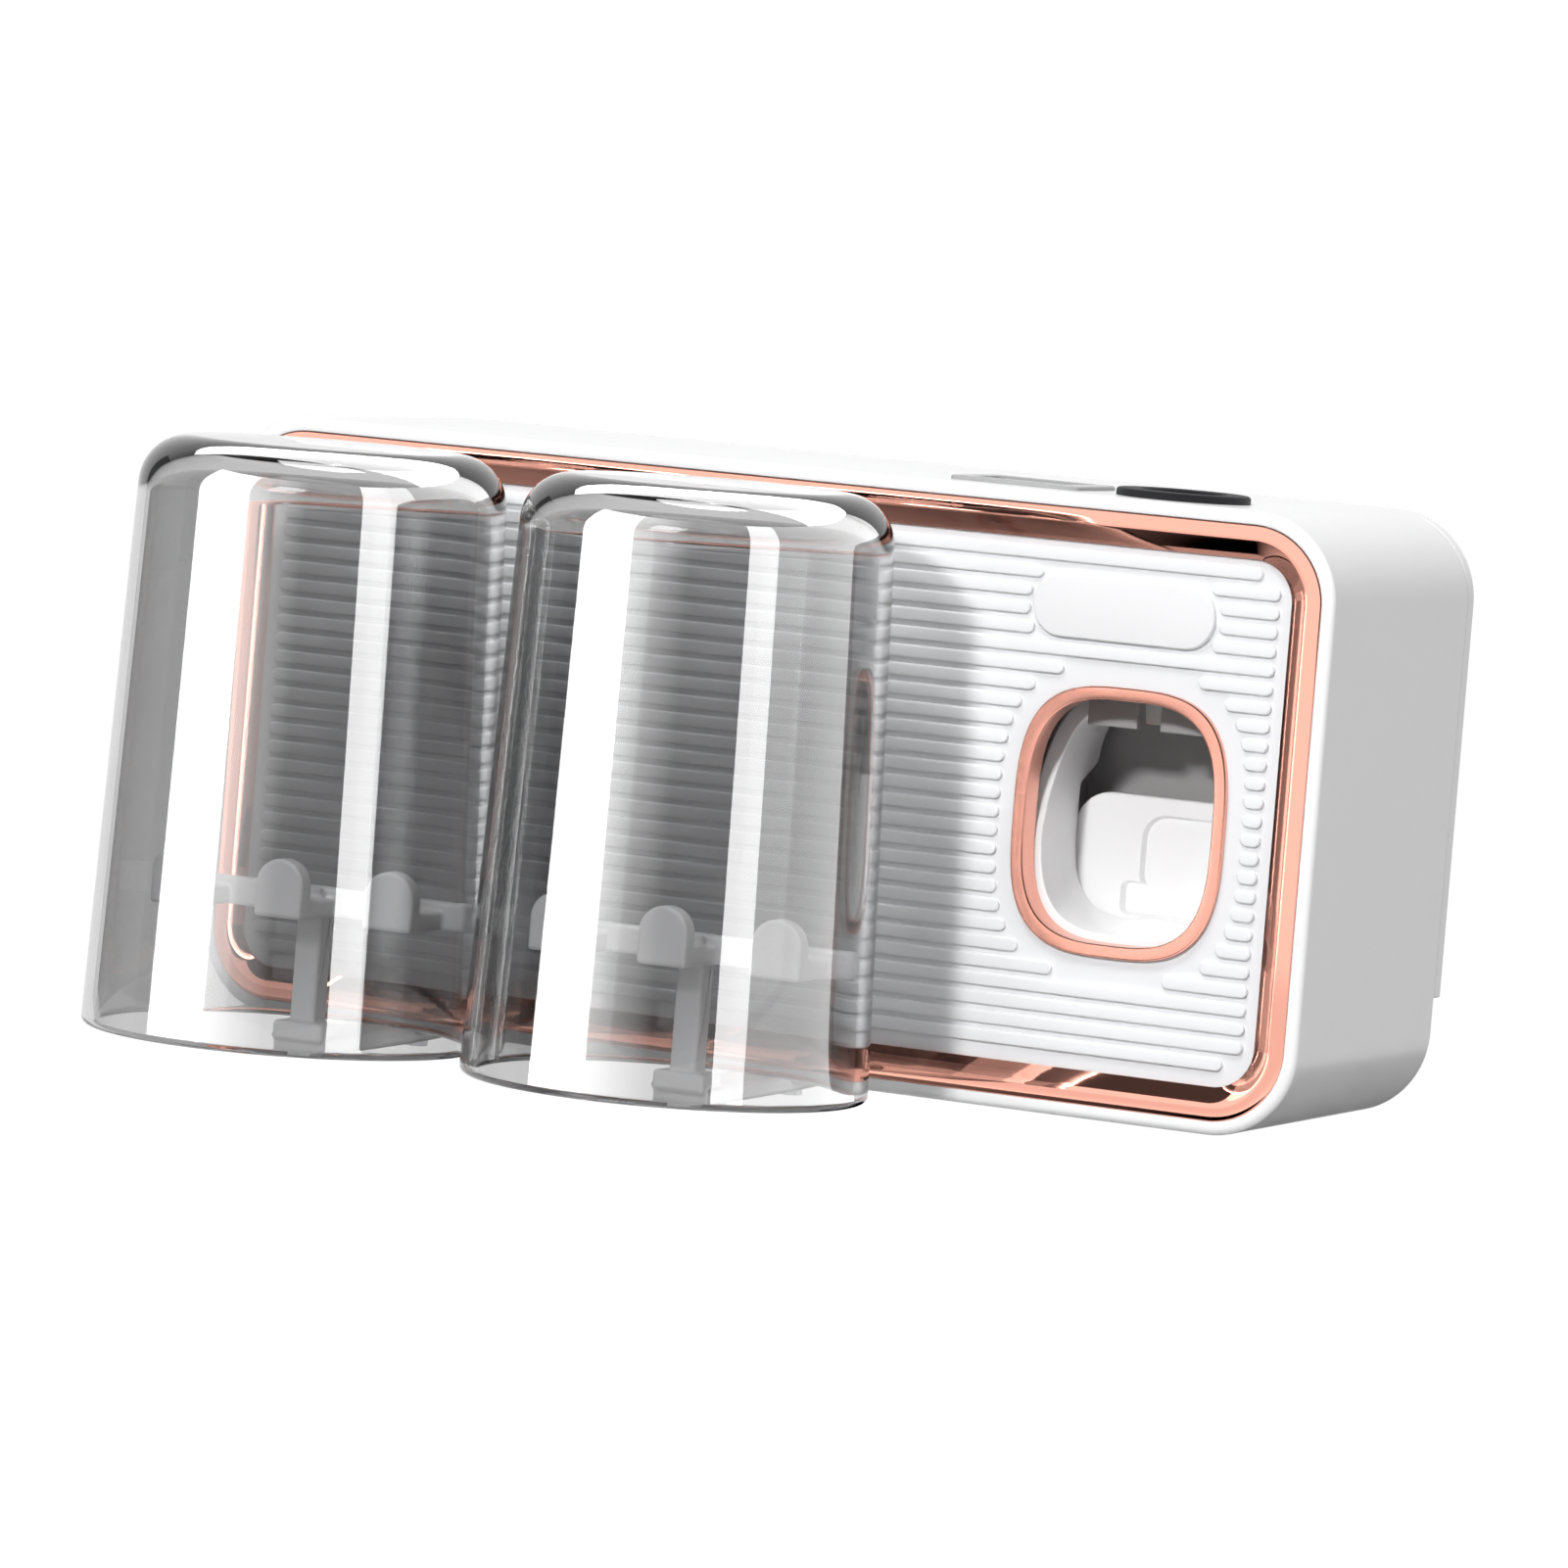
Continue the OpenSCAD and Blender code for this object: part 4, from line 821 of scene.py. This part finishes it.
def makeCup(name, pieceName, v):
    # The cup's section turned about its axis: round rim, tapered wall, round edge and thick closed end
    z, h, t = v["rimZ"], v["height"], v["wall"]
    taper = (v["rimR"] - v["endR"]) / h
    rim = fillet(v["rimR"] - t / 2, z + t / 2, t / 2, 180, 360, 13)
    outer = fillet(v["endR"] - v["edgeR"], z + h - v["edgeR"], v["edgeR"], 0, 90, 22)
    inside = h - v["end"]
    innerEdge = v["edgeR"] - t
    endR = v["rimR"] - t - taper * inside
    inner = fillet(endR - innerEdge, z + inside - innerEdge, innerEdge, 90, 0, 18)
    held = np.concatenate([[v["nearShare"]], np.linspace(0, 1, 14)[1:-1], [1 - v["nearShare"]]])[:, None]
    wallOut = rim[-1] * (1 - held) + outer[0] * held
    wallIn = inner[-1] * (1 - held) + rim[0] * held
    capR, floorR = outer[-1][0], inner[0][0]
    cap = np.array([[capR - v["nearEdge"], z + h], [capR / 2, z + h], [0, z + h]])
    floor = np.array([[0, z + inside], [floorR / 2, z + inside], [floorR - v["nearEdge"], z + inside]])
    shell = newShell()
    profile = np.vstack([rim, wallOut, outer, cap])
    innerSide = np.vstack([floor, inner, wallIn, rim[:1]])
    centre = (v["x"][name], v["y"])
    first, second = lathe(profile, centre, 192), lathe(innerSide, centre, 192)
    addGrid(shell, first, wrapCols=True)
    addCap(shell, first[-1])
    addGrid(shell, second, wrapCols=True)
    addCap(shell, second[0])
    addPiece(pieceName, shellMesh(pieceName, shell), clearCup, name, [name], 50)


makeCup("cup_left", "cupLeft", cup)
makeCup("cup_right", "cupRight", cup)
bevelledCopy("rack_left", "rackLeft", whiteGloss, "holder", 0.7, 4)
bevelledCopy("rack_right", "rackRight", whiteGloss, "holder", 0.7, 4)
bevelledCopy("wall_bracket", "wallBracket", paleGrey, "bracket", 0.35)
print("cups and racks made")


# Finishes of the kept nodes

finishes = {
    "adhesive_pad": padFoam, "back_screws": steel, "tube_socket": paleGrey, "pump_cap": paleGrey,
    "outlet_nozzle": milkySilicone, "cassette_screws": steel, "lever_pin": steel, "plunger": paleGrey,
    "plunger_seal": blackRubber, "return_spring": steel, "rack_screws": steel,
}
for name, material in finishes.items():
    for place in cadNodes[name].material_slots:
        place.material = material
print("finishes set")


# Studio

studio = {"floorZ": -0.30, "floorR": 6.0, "floorTone": 0.3, "liftNear": 0.86, "liftFar": 0.94,
          "liftSpan": (0.5, 2.0), "ambient": 0.2, "roomSpan": (-0.1, 0.35), "roomDim": 0.07, "bandRise": 3}


def directSight(tree, rays):
    # 1 for rays that no dull surface has scattered before, so that cards and backdrop light nothing
    return combined(tree, "LESS_THAN", rays.outputs["Diffuse Depth"], 0.5)


def clearSight(tree, rays):
    # 1 for rays that have passed through glass and that nothing has mirrored before
    first = combined(tree, "LESS_THAN", rays.outputs["Glossy Depth"], 0.5)
    return combined(tree, "MULTIPLY", rays.outputs["Is Transmission Ray"], first)


def mirrorSight(tree, rays):
    # 1 for rays that something has mirrored, also where they have passed through glass since
    return combined(tree, "GREATER_THAN", rays.outputs["Glossy Depth"], 0.5)


def makeFloor(v):
    # A wide disc that keeps the object's shadow and is lifted to white for what looks at it
    turn = np.arange(96) * 2 * pi / 96
    radii = np.array([0.001, *v["liftSpan"], v["floorR"]]) / millimetre
    points = np.stack([radii[:, None] * np.cos(turn), radii[:, None] * np.sin(turn),
                       np.full((4, 96), v["floorZ"] / millimetre)], axis=-1)
    shell = newShell()
    addGrid(shell, points, wrapCols=True)
    mesh = shellMesh("floor", shell)
    material, tree, out = emptyMaterial("floorWhite")
    plain = node(tree, "ShaderNodeBsdfDiffuse", {"Color": (v["floorTone"],) * 3 + (1,)})
    where = node(tree, "ShaderNodeTexCoord").outputs["Object"]
    far = node(tree, "ShaderNodeVectorMath", {0: where}, operation="LENGTH").outputs["Value"]
    level = node(tree, "ShaderNodeMapRange", {
        "Value": far, "From Min": v["liftSpan"][0], "From Max": v["liftSpan"][1], "To Min": v["liftNear"],
        "To Max": v["liftFar"]}).outputs["Result"]
    rays = node(tree, "ShaderNodeLightPath")
    seen = combined(tree, "MAXIMUM", rays.outputs["Is Camera Ray"], rays.outputs["Is Transmission Ray"])
    seen = combined(tree, "MAXIMUM", seen, rays.outputs["Is Glossy Ray"])
    seen = combined(tree, "MULTIPLY", seen, directSight(tree, rays))
    lift = combined(tree, "MULTIPLY", seen, level)
    glow = node(tree, "ShaderNodeEmission", {"Color": (1, 1, 1, 1), "Strength": lift})
    both = node(tree, "ShaderNodeAddShader", {0: plain.outputs[0], 1: glow.outputs[0]})
    tree.links.new(both.outputs[0], out.inputs["Surface"])
    mesh.materials.append(material)
    obj = bpy.data.objects.new("floor", mesh)
    bpy.context.scene.collection.objects.link(obj)


def makeWorld(v):
    # White for what the camera sees, also through the cups; a dim room in front for what metal mirrors
    world = bpy.data.worlds.new("studio")
    bpy.context.scene.world = world
    world.use_nodes = True
    tree = world.node_tree
    tree.nodes.clear()
    out = node(tree, "ShaderNodeOutputWorld")
    rays = node(tree, "ShaderNodeLightPath")
    way = node(tree, "ShaderNodeTexCoord").outputs["Generated"]
    parts = node(tree, "ShaderNodeSeparateXYZ", {"Vector": way})
    behind = node(tree, "ShaderNodeMapRange", {
        "Value": parts.outputs["Y"], "From Min": v["roomSpan"][0], "From Max": v["roomSpan"][1],
        "To Min": v["roomDim"], "To Max": 1.0}).outputs["Result"]
    direct = directSight(tree, rays)
    seen = combined(tree, "MAXIMUM", rays.outputs["Is Camera Ray"], clearSight(tree, rays))
    seen = combined(tree, "MULTIPLY", seen, direct)
    dim = node(tree, "ShaderNodeMix", {0: combined(tree, "MULTIPLY", mirrorSight(tree, rays), direct)})
    dim.inputs[2].default_value = v["ambient"]
    tree.links.new(behind, dim.inputs[3])
    level = node(tree, "ShaderNodeMix", {0: seen})
    tree.links.new(dim.outputs[0], level.inputs[2])
    level.inputs[3].default_value = 1.0
    light = node(tree, "ShaderNodeBackground", {"Color": (1, 1, 1, 1), "Strength": level.outputs[0]})
    tree.links.new(light.outputs[0], out.inputs["Surface"])


def direction(azimuth, elevation):
    # Azimuth 0 is straight in front, positive to the right
    a, e = radians(azimuth), radians(elevation)
    return Vector((np.sin(a) * np.cos(e), -np.cos(a) * np.cos(e), np.sin(e)))


def addLamp(name, azimuth, elevation, distance, width, height, power):
    # A soft lamp that faces the object and that nothing mirrors
    data = bpy.data.lights.new(name, "AREA")
    data.shape = "RECTANGLE"
    data.size = width
    data.size_y = height
    data.energy = power
    obj = bpy.data.objects.new(name, data)
    bpy.context.scene.collection.objects.link(obj)
    way = direction(azimuth, elevation)
    obj.location = way * distance
    obj.rotation_euler = way.to_track_quat("Z", "Y").to_euler()
    obj.visible_glossy = False


def addCard(name, azimuths, elevations, distance, strength, only=None):
    # A glowing or black card that only mirrors and glass reflect, bent round the object;
    # two strengths are its glow at the first and at the second azimuth
    a = np.radians(np.linspace(azimuths[0], azimuths[1], 13))
    e = np.radians(np.linspace(elevations[0], elevations[1], 9))[:, None]
    far = distance / millimetre
    points = np.stack([far * np.sin(a) * np.cos(e), -far * np.cos(a) * np.cos(e), far * np.sin(e) + 0 * a], axis=-1)
    makeCard(name, points, strength, azimuths, only)


def addFloorBand(name, azimuths, radii, strength, ramp):
    # A sector just above the floor that only mirrors reflect; two strengths are its glow at the ramp's ends
    a = np.radians(np.linspace(azimuths[0], azimuths[1], 13))
    r = np.linspace(radii[0], radii[1], 5)[:, None] / millimetre
    low = studio["floorZ"] / millimetre + studio["bandRise"]
    points = np.stack([r * np.sin(a), -r * np.cos(a), np.full((5, 13), low)], axis=-1)
    makeCard(name, points, strength, ramp)


def makeCard(name, points, strength, azimuths, only=None):
    shell = newShell()
    addGrid(shell, points)
    mesh = shellMesh(name, shell)
    material, tree, out = emptyMaterial(name)
    ends = strength if isinstance(strength, tuple) else (strength, strength)
    parts = node(tree, "ShaderNodeSeparateXYZ", {"Vector": node(tree, "ShaderNodeTexCoord").outputs["Object"]})
    front = combined(tree, "MULTIPLY", parts.outputs["Y"], -1.0)
    around = combined(tree, "ARCTAN2", parts.outputs["X"], front)
    spanned = node(tree, "ShaderNodeMapRange", {
        "Value": around, "From Min": radians(min(azimuths)), "From Max": radians(max(azimuths)),
        "To Min": ends[azimuths[0] > azimuths[1]], "To Max": ends[azimuths[0] <= azimuths[1]]})
    rays = node(tree, "ShaderNodeLightPath")
    level = combined(tree, "MULTIPLY", directSight(tree, rays), spanned.outputs["Result"])
    glow = node(tree, "ShaderNodeEmission", {"Color": (1, 1, 1, 1), "Strength": level})
    clear = node(tree, "ShaderNodeBsdfTransparent")
    if only:
        # Rays of the other pieces pass through it to what lies behind
        glow = node(tree, "ShaderNodeAddShader", {0: glow.outputs[0], 1: clear.outputs[0]})
    else:
        glow = node(tree, "ShaderNodeMixShader", {0: mirrorSight(tree, rays), 1: clear.outputs[0],
                                                  2: glow.outputs[0]})
    tree.links.new(glow.outputs[0], out.inputs["Surface"])
    mesh.materials.append(material)
    obj = bpy.data.objects.new(name, mesh)
    bpy.context.scene.collection.objects.link(obj)
    obj.visible_camera = False
    obj.visible_diffuse = False
    obj.visible_transmission = not only
    obj.visible_shadow = False
    obj.visible_volume_scatter = False
    if only:
        obj.light_linking.receiver_collection = only


makeFloor(studio)
makeWorld(studio)
cups = bpy.data.collections.new("cupsOnly")
for name in ("cupLeft", "cupRight"):
    cups.objects.link(bpy.data.objects[name])
leftCup = bpy.data.collections.new("leftCupOnly")
leftCup.objects.link(bpy.data.objects["cupLeft"])
lamps = [  # name, azimuth, elevation, distance, width, height, power
    ("keyLamp", 1.5, 21, 1.6, 0.12, 0.12, 15.5),
    ("upperLamp", -12, 58, 1.6, 0.4, 0.4, 10.5),
    ("topLamp", 0, 82, 1.4, 1.0, 0.6, 4.0),
    ("sideLamp", 74, 12, 1.6, 0.9, 0.9, 7.5),
]
cards = [  # name, azimuths, elevations, distance, strength
    ("cardLeft", (-6, -34), (-25, 22), 3.0, 1.3),
    ("cardLeftBright", (-34, -54), (-25, 22), 3.0, 2.2),
    ("cardBlack", (-54, -64.5), (-25, 25), 3.0, 0.0),
    ("cardLeftDim", (-64.5, -112), (-25, 25), 3.0, 0.26),
]
floorBands = [  # name, azimuths, radii, strength, ramp of azimuths
    ("floorBlack", (-62, 5), (0.42, 1.2), (0.65, 0.0), (-34, -16)),
    ("floorDim", (-62, 5), (0.05, 0.42), 0.5, (0, 1)),
    ("floorBehind", (135, 205), (0.2, 1.15), 0.0, (0, 1)),
]
cupCards = [  # name, azimuths, elevations, distance, strength, the cups that it reaches
    ("stripLeft", (-18.6, -53.2), (-40, 40), 2.6, 22.0, cups),
    ("stripRight", (50.2, 68.2), (-40, 40), 2.6, 18.0, cups),
    ("softLeft", (16, -18.6), (-40, 40), 2.6, (1.0, 10.0), cups),
    ("softCentre", (50.2, 16), (-40, 40), 2.6, 1.0, cups),
    ("softRight", (68.2, 160), (-40, 40), 2.6, 5.6, cups),
    ("softFar", (68.2, 86), (-40, 40), 2.7, 10.0, leftCup),
    ("overhead", (-80, 80), (72, 140), 2.6, 14.0, cups),
]
for row in lamps:
    addLamp(*row)
for row in cards + cupCards:
    addCard(*row)
for row in floorBands:
    addFloorBand(*row)
print("studio made")
